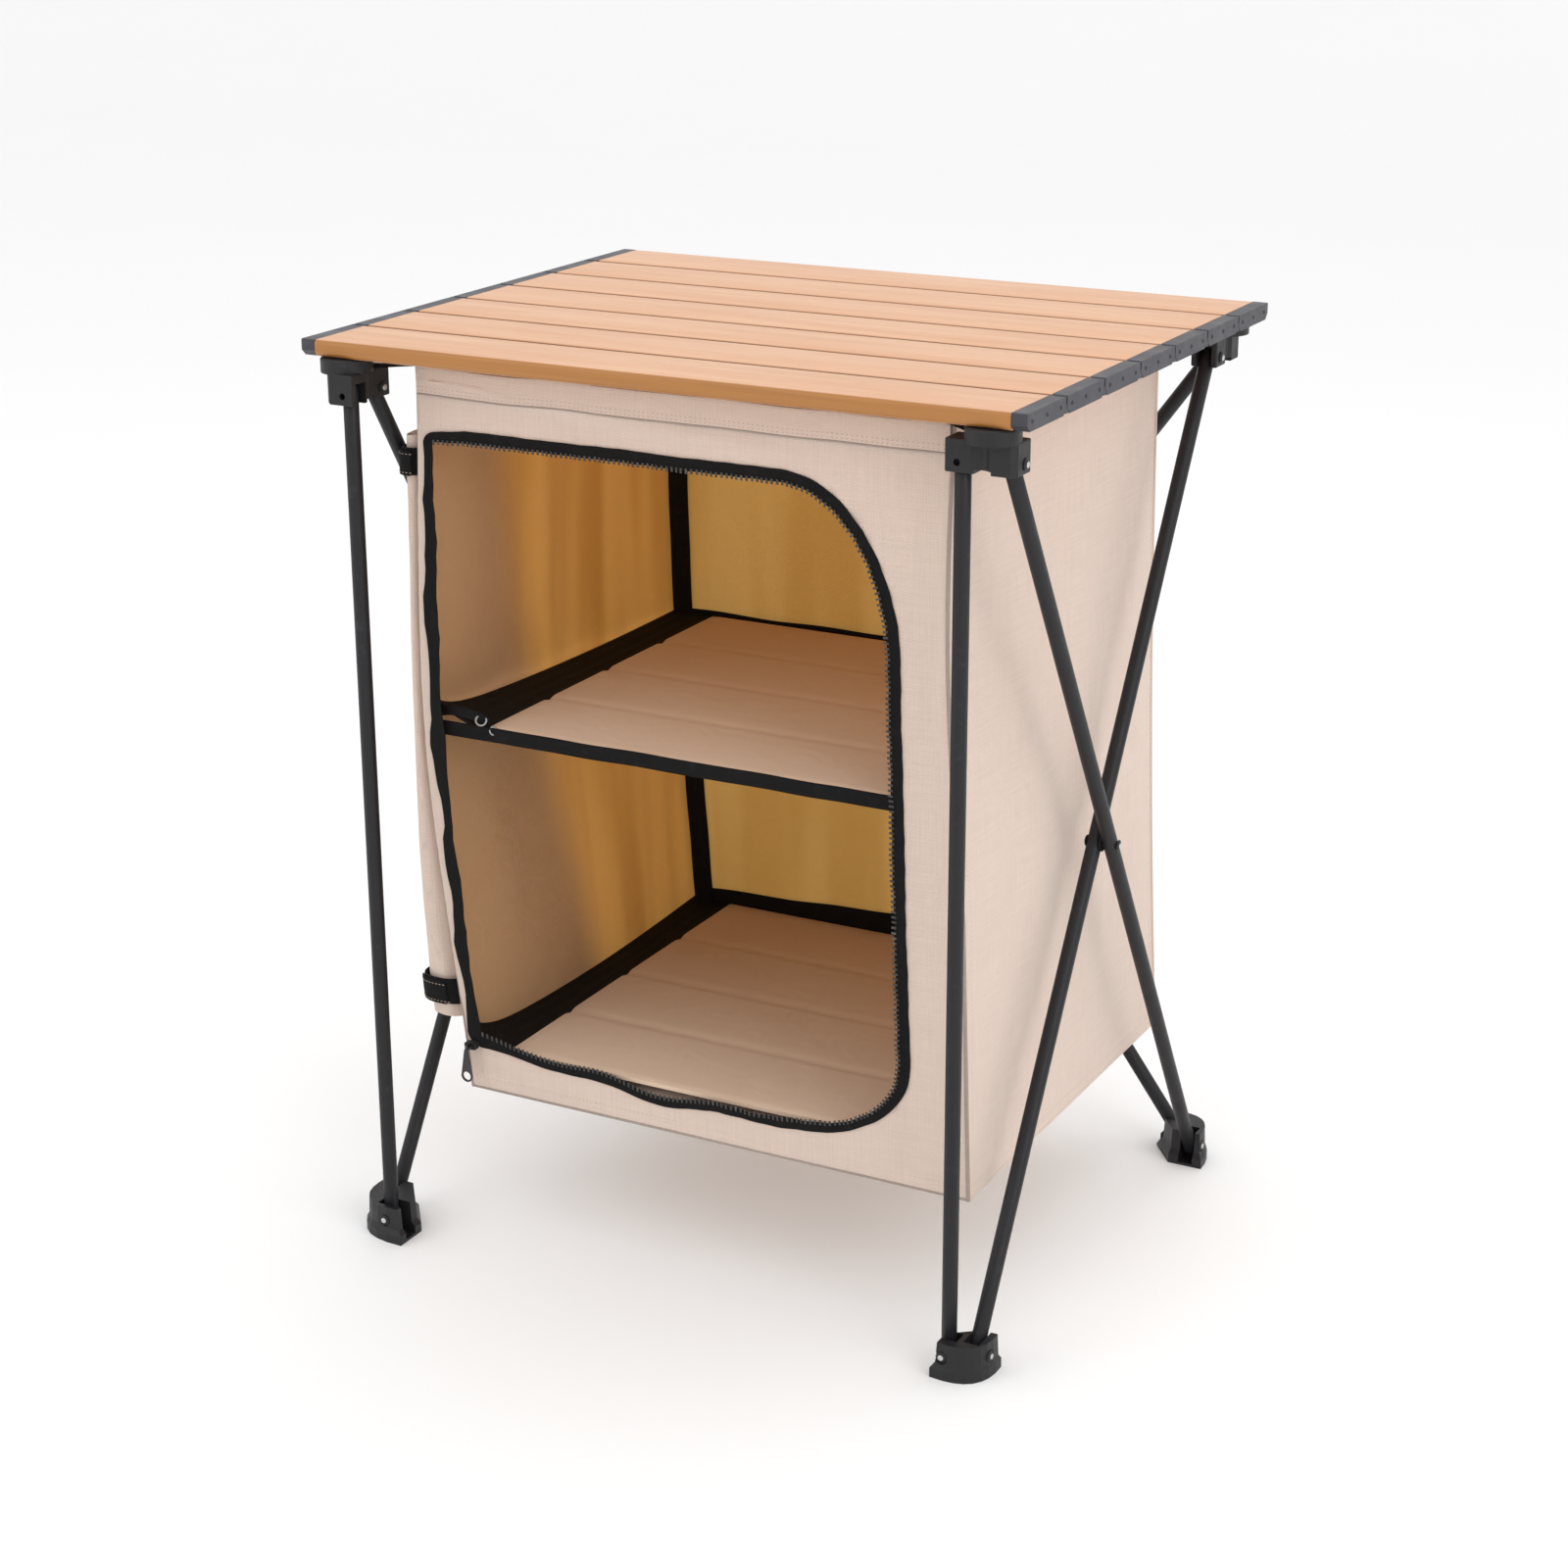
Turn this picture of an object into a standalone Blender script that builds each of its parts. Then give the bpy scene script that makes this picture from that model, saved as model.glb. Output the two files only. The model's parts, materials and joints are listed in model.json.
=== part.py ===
"""Fabric camp kitchen cupboard: a folding tube frame on moulded brackets and feet, a roll-up slat
tabletop, and a hung fabric cupboard with two soft shelves and a zipped front.
Metres, +Z up, +Y to the back. The origin is on the ground under the middle of the tabletop."""

import math

import bmesh
import bpy
from mathutils import Matrix, Vector

# Driving dimensions
TABLE_WIDTH = 0.600
TABLE_DEPTH = 0.480
TABLE_HEIGHT = 0.750
SLAT_THICK = 0.013
SLAT_COUNT = 7
TUBE_D = 0.012
TUBE_WALL = 0.0012
PIVOT_DROP = 0.040
FOOT_PIVOT_Z = 0.018
CORNER_INSET_X = 0.031
CORNER_INSET_Y = 0.015

# Clearances and cutting
GAP = 0.0003
SWING_CLEAR = 0.0004
OVERRUN = 0.010

# Rivets and washers
RIVET_D = 0.0048
RIVET_HEAD_D = 0.0092
RIVET_HEAD_H = 0.0020
HEAD_EDGE_SHARE = 0.45
RIVET_SEAT = 0.0012
WASHER_D = 0.014
WASHER_THICK = 0.0008
TUBE_END = 0.0065

# Sides of round shapes
TUBE_SIDES = 16
RIVET_SIDES = 10
DISC_SIDES = 40

# Corner brackets, in the frame of the front right one: -X and +Y run along its two faces
BRACKET_HEIGHT = 0.024
DISC_D = 0.040
DISC_HEIGHT = 0.010
DISC_EDGE = 0.0012
FACE_PIVOT = -0.024
SIDE_PIVOT = 0.009
FACE_PLANE = 0.004
CHEEK = 0.0045
LUG_REACH = 0.0095
BRACKET_BEVEL = 0.0012
SCOOP_R = 0.0105
SCOOP_X = -0.0065
SCOOP_Y = -0.0145
CORNER_CUT = 0.0040
RELIEF_LEFT = -0.0120
RELIEF_RIGHT = 0.0015
RELIEF_TALL = 0.0030

# Feet, in the same frame
FOOT_HEIGHT = 0.030
FOOT_FLANGE = 0.008
FOOT_STEP = 0.004
FOOT_FACE_WING = 0.0330
FOOT_SIDE_WING = 0.0270
FOOT_FACE_OUT = 0.0120
FOOT_SIDE_OUT = 0.0095
FOOT_BOW = 0.0085
FOOT_INNER = 0.006
FOOT_NECK_SHARE = 0.88
FOOT_TOP_SHARE = 0.84
FOOT_FLOOR = 0.0025
SPOT_SUNK = 0.0006
SPOT_D = 0.0112
RIVET_TAIL = 0.004

# Tabletop slats and their linked end caps
SLAT_GAP = 0.002
SLAT_WALL = 0.0013
SLAT_EDGE = 0.0015
SLAT_BEVEL = 0.0045
CAP_LENGTH = 0.012
CAP_PLUG = 0.020
CAP_PLUG_CLEAR = 0.0004
CAP_EDGE = 0.0010
HINGE_RISE = 0.0040
KNUCKLE_R = 0.0036
KNUCKLE_CLEAR = 0.0006
TONGUE_WIDE = 0.0044
PIN_D = 0.0024
KNUCKLE_SIDES = 10
PIN_SIDES = 8
EYE_RELIEF = 0.0002

# Fabric cupboard
CLOTH = 0.0012
BOX_INSET_LEFT = 0.070
BOX_INSET_RIGHT = 0.076
BOX_INSET_FRONT = 0.050
BOX_INSET_BACK = 0.045
ROOF_DROP = 0.023
BOX_TALL = 0.608
LEAN_X = 0.013
LEAN_Y = 0.018
LEFT_SWELL = 0.019
SWELL_WIDE = 0.035
SWELL_SHARE = 1.4
SWELL_REAR_SHARE = 1.5
BACK_WAIST = 0.011
SIDE_BULGE = 0.006
SIDE_FOLD = 0.0024
SIDE_FOLDS = 3.5
BACK_BULGE = 0.005
PANEL_ACROSS = 14
PANEL_UP = 12
FLOOR_STEPS = 2

# Front opening and its zip
MARGIN_LEFT = 0.011
MARGIN_RIGHT = 0.054
MARGIN_BOTTOM = 0.047
MARGIN_TOP = 0.055
TOP_CURVE_X = 0.085
TOP_CURVE_Z = 0.125
BOTTOM_CURVE_X = 0.070
BOTTOM_CURVE_Z = 0.058
LEFT_CURVE = 0.012
ZIP_SAG = 0.016
ARC_STEPS = 8
RUN_STEPS = 6
ZIP_WIDE = 0.013
ZIP_SLIM = 0.008
ZIP_THICK = 0.0014
SLIDER_WIDE = 0.008
SLIDER_TALL = 0.012
SLIDER_THICK = 0.0045
SLIDER_EDGE = 0.0010
BAIL_D = 0.0018
BAIL_RISE = 0.0040
PULLER_LONG = 0.030
PULLER_WIDE = 0.0075
PULLER_THICK = 0.0014
PULLER_RING_D = 0.010

# Rolled door: how far below the roof each ring of it lies, and how far left of the wall's edge it reaches
ROLL_DROPS = (0.058, 0.100, 0.140, 0.230, 0.310, 0.390, 0.460, 0.510, 0.552)
ROLL_REACH = (0.0250, 0.0270, 0.0283, 0.0320, 0.0355, 0.0395, 0.0405, 0.0390, 0.0365)
ROLL_FRONT = 0.005
ROLL_DEEP = 0.044
ROLL_SIDES = 14
ROLL_SQUARE_SHARE = 0.8
WALL_SLACK = 0.0006

# Shelves
SHELF_THICK = 0.007
SHELF_CREASE = 0.0020
SHELF_PANELS = 4
SHELF_ACROSS = 6
SHELF_PER_PANEL = 4
MID_SHELF_RISE = 0.321
LOW_SHELF_RISE = 0.041
SHELF_INSET = 0.004
WEB_ACROSS = 4
WEB_ALONG = 8
BINDING_UP = 2
WEB_WIDE = 0.036
WEB_THICK = 0.0030
WEB_DROP = 0.0035
BINDING_TALL = 0.012
BINDING_THICK = 0.0016

# Straps
STRAP_WIDE = 0.022
STRAP_THICK = 0.0016
UPPER_STRAP_DROP = 0.079
LOWER_STRAP_DROP = 0.529
TAB_WIDE = 0.014
TAB_THICK = 0.0015
TAB_SUNK = 0.0010
TAB_LIFT = 0.0005
TAB_SEAT = 0.020

# Worked out from the sizes above
CORNER_X = TABLE_WIDTH / 2 - CORNER_INSET_X
CORNER_Y = TABLE_DEPTH / 2 - CORNER_INSET_Y
TUBE_R = TUBE_D / 2
TOP_PIVOT_Z = TABLE_HEIGHT - PIVOT_DROP
TABLE_UNDER = TABLE_HEIGHT - SLAT_THICK
SLAT_PITCH = TABLE_DEPTH / SLAT_COUNT
TUBE_SPACING = TUBE_D + WASHER_THICK + 2 * GAP
SIDE_PLANE = TUBE_SPACING - FACE_PLANE
SLOT_HALF = TUBE_R + SWING_CLEAR
SLOT_REACH = math.hypot(TUBE_R, TUBE_END) + SWING_CLEAR
BRACKET_TOP = TABLE_UNDER - GAP - DISC_HEIGHT
BRACKET_BOTTOM = BRACKET_TOP - BRACKET_HEIGHT
HINGE_Z = TABLE_UNDER + HINGE_RISE
BOX_LEFT = BOX_INSET_LEFT - TABLE_WIDTH / 2
BOX_RIGHT = TABLE_WIDTH / 2 - BOX_INSET_RIGHT
BOX_FRONT = BOX_INSET_FRONT - TABLE_DEPTH / 2
BOX_BACK = TABLE_DEPTH / 2 - BOX_INSET_BACK
BOX_TOP = TABLE_HEIGHT - ROOF_DROP
BOX_BOTTOM = BOX_TOP - BOX_TALL
OPEN_LEFT = BOX_LEFT + MARGIN_LEFT
OPEN_RIGHT = BOX_RIGHT - MARGIN_RIGHT
OPEN_BOTTOM = BOX_BOTTOM + MARGIN_BOTTOM
OPEN_TOP = BOX_TOP - MARGIN_TOP
MID_SHELF_TOP = BOX_BOTTOM + MID_SHELF_RISE
LOW_SHELF_TOP = BOX_BOTTOM + LOW_SHELF_RISE

# The corners, each a quarter turn on from the one before it
CORNERS = ("front_right", "rear_right", "rear_left", "front_left")

X_AXIS = Vector((1, 0, 0))
Y_AXIS = Vector((0, 1, 0))
Z_AXIS = Vector((0, 0, 1))


def clear_scene():
    """Removes whatever the scene holds."""
    for obj in list(bpy.data.objects):
        bpy.data.objects.remove(obj, do_unlink=True)


def material(name, colour, roughness, metallic=0.0):
    """A plain Principled material."""
    made = bpy.data.materials.new(name)
    made.use_nodes = True
    shader = made.node_tree.nodes["Principled BSDF"]
    shader.inputs["Base Color"].default_value = (*colour, 1.0)
    shader.inputs["Roughness"].default_value = roughness
    shader.inputs["Metallic"].default_value = metallic
    return made


def add_object(name, bm, finish, origin=Vector((0, 0, 0)), smooth=True):
    """Turns a bmesh in world coordinates into a named object whose origin is on its joint."""
    bm.normal_update()
    bmesh.ops.recalc_face_normals(bm, faces=bm.faces[:])
    bmesh.ops.translate(bm, verts=bm.verts[:], vec=-Vector(origin))
    mesh = bpy.data.meshes.new(name)
    bm.to_mesh(mesh)
    bm.free()
    mesh.materials.append(finish)
    if smooth:
        mesh.shade_smooth()
        mesh.set_sharp_from_angle(angle=math.radians(35))
    obj = bpy.data.objects.new(name, mesh)
    obj.location = origin
    bpy.context.scene.collection.objects.link(obj)
    return obj


def shape(obj, bm, operation):
    """Cuts or joins a hidden shape into an object."""
    tool = add_object(obj.name + "_tool", bm, obj.data.materials[0], smooth=False)
    tool.hide_render = True
    tool.display_type = "WIRE"
    step = obj.modifiers.new(operation.lower(), "BOOLEAN")
    step.operation = operation
    step.object = tool
    return tool


def cut(obj, bm):
    return shape(obj, bm, "DIFFERENCE")


def join(obj, bm):
    return shape(obj, bm, "UNION")


def add_bevel(obj, width):
    """Rounds an object's sharp edges."""
    step = obj.modifiers.new("bevel", "BEVEL")
    step.width = width
    step.segments = 2
    step.limit_method = "ANGLE"
    step.angle_limit = math.radians(50)
    return step


def box(low, high):
    """A closed box between two corners."""
    bm = bmesh.new()
    bmesh.ops.create_cube(bm, size=1.0)
    middle = [(a + b) / 2 for a, b in zip(low, high)]
    spans = [abs(b - a) for a, b in zip(low, high)]
    for v in bm.verts:
        v.co = Vector([m + s * c for m, s, c in zip(middle, spans, v.co)])
    return bm


def loft(rings):
    """A closed body through rings of equally many points, capped at both ends."""
    bm = bmesh.new()
    loops = [[bm.verts.new(p) for p in ring] for ring in rings]
    count = len(loops[0])
    for low, high in zip(loops, loops[1:]):
        for i in range(count):
            j = (i + 1) % count
            bm.faces.new((low[i], low[j], high[j], high[i]))
    bm.faces.new(loops[0][::-1])
    bm.faces.new(loops[-1])
    return bm


def prism(outline, low, high):
    """An outline in plan, drawn up from one height to another."""
    return loft([[(x, y, z) for x, y in outline] for z in (low, high)])


def turned(profile, start, axis, sides):
    """A body turned about an axis, from points of radius and distance along it.
    A profile that starts and ends on the axis is closed there, any other closes on itself."""
    bm = bmesh.new()
    turn = Z_AXIS.rotation_difference(axis).to_matrix().to_4x4()
    place = Matrix.Translation(start) @ turn
    loops = []
    for radius, along in profile:
        if radius == 0:
            loops.append([bm.verts.new(place @ Vector((0, 0, along)))])
            continue
        ring = []
        for i in range(sides):
            a = math.tau * i / sides
            ring.append(bm.verts.new(place @ Vector((radius * math.cos(a), radius * math.sin(a), along))))
        loops.append(ring)
    pairs = list(zip(loops, loops[1:]))
    if len(loops[0]) > 1:
        pairs.append((loops[-1], loops[0]))
    for low, high in pairs:
        for i in range(sides):
            j = (i + 1) % sides
            if len(low) == 1:
                bm.faces.new((low[0], high[j], high[i]))
            elif len(high) == 1:
                bm.faces.new((low[i], low[j], high[0]))
            else:
                bm.faces.new((low[i], low[j], high[j], high[i]))
    return bm


def rod(start, end, diameter, sides):
    """A plain round bar between two points."""
    start, end = Vector(start), Vector(end)
    length = (end - start).length
    profile = [(0, 0), (diameter / 2, 0), (diameter / 2, length), (0, length)]
    return turned(profile, start, (end - start).normalized(), sides)


def merge(parts):
    """Several closed shapes in one bmesh."""
    whole = bmesh.new()
    for part in parts:
        mesh = bpy.data.meshes.new("part")
        part.to_mesh(mesh)
        part.free()
        whole.from_mesh(mesh)
        bpy.data.meshes.remove(mesh)
    return whole


def turn(quarter, x, y):
    """A plan point of the front right corner, turned by quarter turns."""
    for _ in range(quarter):
        x, y = -y, x
    return x, y


def corner_centre(corner):
    """The plan point under the middle of a corner's bracket disc."""
    sign_x, sign_y = turn(CORNERS.index(corner), 1, -1)
    return sign_x * CORNER_X, sign_y * CORNER_Y


def at_corner(corner, x, y, z):
    """A world point from a point in the front right corner's frame."""
    centre = corner_centre(corner)
    dx, dy = turn(CORNERS.index(corner), x, y)
    return Vector((centre[0] + dx, centre[1] + dy, z))


def to_corner(corner, bm):
    """Moves a shape from the front right corner's frame to a corner."""
    centre = corner_centre(corner)
    spin = Matrix.Rotation(math.radians(90) * CORNERS.index(corner), 4, "Z")
    bm.transform(Matrix.Translation((*centre, 0)) @ spin)
    return bm


def rivet(start, axis, grip, tail=True, seat=RIVET_SEAT):
    """A domed rivet whose head sits on start and whose shank runs along axis for its grip.
    The heads reach into what they clamp by their seat, or stand off it where that is negative."""
    r, head = RIVET_D / 2, RIVET_HEAD_D / 2
    edge = RIVET_HEAD_H * HEAD_EDGE_SHARE
    profile = [(0, -RIVET_HEAD_H), (head * HEAD_EDGE_SHARE, -RIVET_HEAD_H), (head, -edge), (head, seat), (r, seat)]
    if tail:
        profile += [(r, grip - seat), (head, grip - seat), (head, grip + edge),
                    (head * HEAD_EDGE_SHARE, grip + RIVET_HEAD_H), (0, grip + RIVET_HEAD_H)]
    else:
        profile += [(r, grip), (0, grip)]
    return turned(profile, start, axis, RIVET_SIDES)


def rivet_hole(start, axis, length):
    """The cutter of a rivet's hole."""
    return rod(start, start + axis * length, RIVET_D + 2 * GAP, RIVET_SIDES)


# Tubes

def tube(name, top, bottom, axis, holes, finish, origin):
    """A round tube that reaches past its two pivots, drilled along axis at each hole."""
    way = (bottom - top).normalized()
    start, length = top - way * TUBE_END, (bottom - top).length + 2 * TUBE_END
    inner = TUBE_R - TUBE_WALL
    profile = [(inner, 0), (TUBE_R, 0), (TUBE_R, length), (inner, length)]
    obj = add_object(name, turned(profile, start, way, TUBE_SIDES), finish, origin)
    for hole in holes:
        cut(obj, rivet_hole(hole - axis * TUBE_D, axis, 2 * TUBE_D))
    return obj


def pivot_points():
    """Each tube's top and bottom pivot and the direction of its rivets."""
    points = {}

    def add(name, top_corner, top_at, foot_corner, foot_at, axis):
        points[name] = (at_corner(top_corner, *top_at, TOP_PIVOT_Z),
                        at_corner(foot_corner, *foot_at, FOOT_PIVOT_Z), axis)

    face, side = (FACE_PIVOT, FACE_PLANE), (SIDE_PLANE, SIDE_PIVOT)
    outer_foot, inner_foot = (FACE_PIVOT, -SIDE_PLANE), (-FACE_PLANE, SIDE_PIVOT)
    add("rear_tube_a", "rear_right", side, "rear_left", outer_foot, Y_AXIS)
    add("rear_tube_b", "rear_left", face, "rear_right", inner_foot, Y_AXIS)
    add("right_tube_a", "front_right", side, "rear_right", outer_foot, X_AXIS)
    add("right_tube_b", "rear_right", face, "front_right", inner_foot, X_AXIS)
    add("left_tube_a", "rear_left", side, "front_left", outer_foot, X_AXIS)
    add("left_tube_b", "front_left", face, "rear_left", inner_foot, X_AXIS)
    add("front_post_right", "front_right", face, "front_right", face, Y_AXIS)
    add("front_post_left", "front_left", side, "front_left", side, Y_AXIS)
    return points


def crossing(points, name):
    """Where a tube crosses its partner, on the tube's own centre line."""
    top, bottom, _ = points[name]
    return (top + bottom) / 2


def build_tubes(points, finish):
    origins = {"rear_tube_a": crossing(points, "rear_tube_a"), "rear_tube_b": crossing(points, "rear_tube_b"),
               "right_tube_a": crossing(points, "right_tube_a"), "right_tube_b": points["right_tube_b"][0],
               "left_tube_a": points["left_tube_a"][0], "left_tube_b": crossing(points, "left_tube_b"),
               "front_post_right": points["front_post_right"][1],
               "front_post_left": points["front_post_left"][1]}
    for name, (top, bottom, axis) in points.items():
        holes = [top, bottom]
        if "post" not in name:
            holes.append(crossing(points, name))
        tube(name, top, bottom, axis, holes, finish, origins[name])


def build_crossings(points, steel, nylon):
    """The rivet and the nylon washer where each pair of tubes crosses."""
    for pair in ("rear", "right", "left"):
        first = crossing(points, pair + "_tube_a")
        second = crossing(points, pair + "_tube_b")
        way = (second - first).normalized()
        outside = first - way * TUBE_R
        grip = TUBE_SPACING + TUBE_D
        add_object(pair + "_cross_rivet", rivet(outside, way, grip, seat=-GAP), steel, first)
        inner, outer = RIVET_D / 2 + GAP, WASHER_D / 2
        start = first + way * (TUBE_R + GAP)
        profile = [(inner, 0), (outer, 0), (outer, WASHER_THICK), (inner, WASHER_THICK)]
        add_object(pair + "_cross_washer", turned(profile, start, way, TUBE_SIDES), nylon, first)


# Corner brackets

def bracket_outline():
    """The L-shaped plan of a bracket, with a lug for each of its two tubes."""
    left, front = FACE_PIVOT - LUG_REACH, FACE_PLANE - SLOT_HALF - CHEEK
    right, back = SIDE_PLANE + SLOT_HALF + CHEEK, SIDE_PIVOT + LUG_REACH
    inner_x, inner_y = SIDE_PLANE - SLOT_HALF - CHEEK, FACE_PLANE + SLOT_HALF + CHEEK
    return [(left, front), (right - CORNER_CUT, front), (right, front + CORNER_CUT), (right, back),
            (inner_x, back), (inner_x, inner_y), (left, inner_y)]


def build_bracket(corner, finish):
    """A moulded corner bracket with its rivets: a disc that carries the tabletop, over two forked lugs."""
    centre = Vector((*corner_centre(corner), TOP_PIVOT_Z))
    obj = add_object("bracket_" + corner,
                     to_corner(corner, prism(bracket_outline(), BRACKET_BOTTOM, BRACKET_TOP)), finish, centre)
    add_bevel(obj, BRACKET_BEVEL)
    r, top = DISC_D / 2, DISC_HEIGHT + BRACKET_BEVEL
    disc = [(0, 0), (r, 0), (r, top - DISC_EDGE), (r - DISC_EDGE, top), (0, top)]
    join(obj, to_corner(corner, turned(disc, Vector((0, 0, BRACKET_TOP - BRACKET_BEVEL)), Z_AXIS, DISC_SIDES)))
    low, high = BRACKET_BOTTOM - OVERRUN, TOP_PIVOT_Z + SLOT_REACH
    face = box((FACE_PIVOT - LUG_REACH - OVERRUN, FACE_PLANE - SLOT_HALF, low),
               (FACE_PIVOT + SLOT_REACH, FACE_PLANE + SLOT_HALF, high))
    side = box((SIDE_PLANE - SLOT_HALF, SIDE_PIVOT - SLOT_REACH, low),
               (SIDE_PLANE + SLOT_HALF, SIDE_PIVOT + LUG_REACH + OVERRUN, high))
    cut(obj, to_corner(corner, face))
    cut(obj, to_corner(corner, side))
    scoop = rod((SCOOP_X, SCOOP_Y, low), (SCOOP_X, SCOOP_Y, BRACKET_TOP - 2 * BRACKET_BEVEL), 2 * SCOOP_R,
                TUBE_SIDES)
    cut(obj, to_corner(corner, scoop))
    relief = box((RELIEF_LEFT, -DISC_D, low), (RELIEF_RIGHT, DISC_D, BRACKET_BOTTOM + RELIEF_TALL))
    cut(obj, to_corner(corner, relief))
    face_start = Vector((FACE_PIVOT, FACE_PLANE - SLOT_HALF - CHEEK, TOP_PIVOT_Z))
    side_start = Vector((SIDE_PLANE + SLOT_HALF + CHEEK, SIDE_PIVOT, TOP_PIVOT_Z))
    across = 2 * (SLOT_HALF + CHEEK)
    if corner == "front_right":
        cut(obj, to_corner(corner, post_hole(face_start, Y_AXIS, across)))
    else:
        join(obj, to_corner(corner, rivet(face_start, Y_AXIS, across)))
    if corner == "front_left":
        cut(obj, to_corner(corner, post_hole(side_start, -X_AXIS, 2 * SLOT_HALF + CHEEK + RIVET_TAIL)))
    else:
        join(obj, to_corner(corner, rivet(side_start, -X_AXIS, across, tail=False)))
    return obj


def post_hole(start, axis, length):
    """The empty rivet hole of a lug that a front post only slips into."""
    return rivet_hole(start - axis * OVERRUN, axis, length + OVERRUN)


# Feet

def foot_slots(corner):
    """The planes of a foot's two slots: the face slot along X and the side slot along Y."""
    face = FACE_PLANE if corner == "front_right" else -SIDE_PLANE
    side = SIDE_PLANE if corner == "front_left" else -FACE_PLANE
    return face, side


def foot_reach(corner):
    """How far out a foot's two cheeks stand at its base: its plain plan, or more where a slot needs it."""
    face, side = foot_slots(corner)
    cover = SLOT_HALF + CHEEK
    return (max(FOOT_FACE_OUT, (cover - face) / FOOT_TOP_SHARE),
            max(FOOT_SIDE_OUT, (cover + side) / FOOT_TOP_SHARE))


def foot_outline(corner, share):
    """A foot's plan: a shallow bow round the outer corner, between two wings with straight inner sides."""
    face_out, side_out = foot_reach(corner)
    start, end = Vector((-FOOT_FACE_WING, -face_out)), Vector((side_out, FOOT_SIDE_WING))
    chord = end - start
    out = Vector((chord.y, -chord.x)).normalized()
    peak = (start + end) / 2 + out * (chord.length / 2 + FOOT_BOW)
    points = []
    for i in range(ARC_STEPS + 1):
        t = i / ARC_STEPS
        along = start.lerp(peak, t).lerp(peak.lerp(end, t), t)
        points.append((along.x, along.y))
    points += [(-FOOT_INNER, FOOT_SIDE_WING), (-FOOT_FACE_WING, FOOT_INNER)]
    return [(x * share, y * share) for x, y in points]


def build_foot(corner, finish):
    """A moulded foot with its rivets: a flange on the ground and a tapered block with two slots.
    The two rear feet each hold one tube end on a stub, which leaves that pivot free."""
    centre = Vector((*corner_centre(corner), FOOT_PIVOT_Z))
    levels = [(0, 1.0), (FOOT_FLANGE, 1.0), (FOOT_FLANGE + FOOT_STEP, FOOT_NECK_SHARE),
              (FOOT_HEIGHT, FOOT_TOP_SHARE)]
    rings = [[(x, y, z) for x, y in foot_outline(corner, share)] for z, share in levels]
    obj = add_object("foot_" + corner, to_corner(corner, loft(rings)), finish, centre, smooth=False)
    face, side = foot_slots(corner)
    high = FOOT_HEIGHT + OVERRUN
    cut(obj, to_corner(corner, box((-FOOT_FACE_WING - OVERRUN, face - SLOT_HALF, FOOT_FLOOR),
                                   (FACE_PIVOT + SLOT_REACH, face + SLOT_HALF, high))))
    cut(obj, to_corner(corner, box((side - SLOT_HALF, SIDE_PIVOT - SLOT_REACH, FOOT_FLOOR),
                                   (side + SLOT_HALF, FOOT_FACE_WING + OVERRUN, high))))
    face_spot, side_spot = [reach * FOOT_TOP_SHARE - SPOT_SUNK for reach in foot_reach(corner)]
    reach = FOOT_FACE_WING + OVERRUN
    start = Vector((FACE_PIVOT, -reach, FOOT_PIVOT_Z))
    cut(obj, to_corner(corner, rod(start, start + Y_AXIS * (reach - face_spot), SPOT_D, RIVET_SIDES)))
    start = Vector((reach, SIDE_PIVOT, FOOT_PIVOT_Z))
    cut(obj, to_corner(corner, rod(start, start - X_AXIS * (reach - side_spot), SPOT_D, RIVET_SIDES)))
    start = Vector((FACE_PIVOT, -face_spot, FOOT_PIVOT_Z))
    stub, through = -SLOT_HALF - GAP, SLOT_HALF + RIVET_SEAT
    grip = face_spot + face + (stub if corner == "rear_right" else through)
    join(obj, to_corner(corner, rivet(start, Y_AXIS, grip, tail=False)))
    start = Vector((side_spot, SIDE_PIVOT, FOOT_PIVOT_Z))
    grip = side_spot - side + (stub if corner == "rear_left" else through)
    join(obj, to_corner(corner, rivet(start, -X_AXIS, grip, tail=False)))
    return obj


# Tabletop

def slat_section(width, height, edge, bevel):
    """A slat's section across Y and Z: eased top edges and bevelled lower ones."""
    half = width / 2
    return [(-half + bevel, 0), (half - bevel, 0), (half, bevel), (half, height - edge),
            (half - edge, height), (-half + edge, height), (-half, height - edge), (-half, bevel)]


def hollow_slat(y, width):
    """An extruded slat: a closed section with two long hollows either side of a middle web."""
    half_long = TABLE_WIDTH / 2 - CAP_LENGTH - GAP
    outer = slat_section(width, SLAT_THICK, SLAT_EDGE, SLAT_BEVEL)
    bm = loft([[(x, y + a, TABLE_UNDER + b) for a, b in outer] for x in (-half_long, half_long)])
    return bm, half_long


def slat_hollow(y, width, half_long, side):
    """The cutter of one of a slat's two hollows."""
    web = SLAT_WALL / 2
    full = width / 2 - SLAT_WALL
    low, high = TABLE_UNDER + SLAT_WALL, TABLE_UNDER + SLAT_THICK - SLAT_WALL
    slope = SLAT_BEVEL
    section = [(web, low), (full - slope, low), (full, low + slope), (full, high), (web, high)]
    return loft([[(x, y + side * a, b) for a, b in section]
                 for x in (-half_long - OVERRUN, half_long + OVERRUN)])


def slat_plug(y, width, side, start, end):
    """The tongue of an end cap that fills one hollow of its slat."""
    web = SLAT_WALL / 2 + CAP_PLUG_CLEAR
    full = width / 2 - SLAT_WALL - CAP_PLUG_CLEAR
    low = TABLE_UNDER + SLAT_WALL + CAP_PLUG_CLEAR
    high = TABLE_UNDER + SLAT_THICK - SLAT_WALL - CAP_PLUG_CLEAR
    slope = SLAT_BEVEL
    section = [(web, low), (full - slope, low), (full, low + slope), (full, high), (web, high)]
    return loft([[(x, y + side * a, b) for a, b in section] for x in (start, end)])


def slat_y(number):
    """The middle of a slat, counted from 1 at the front."""
    return (number - (SLAT_COUNT + 1) / 2) * SLAT_PITCH


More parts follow.
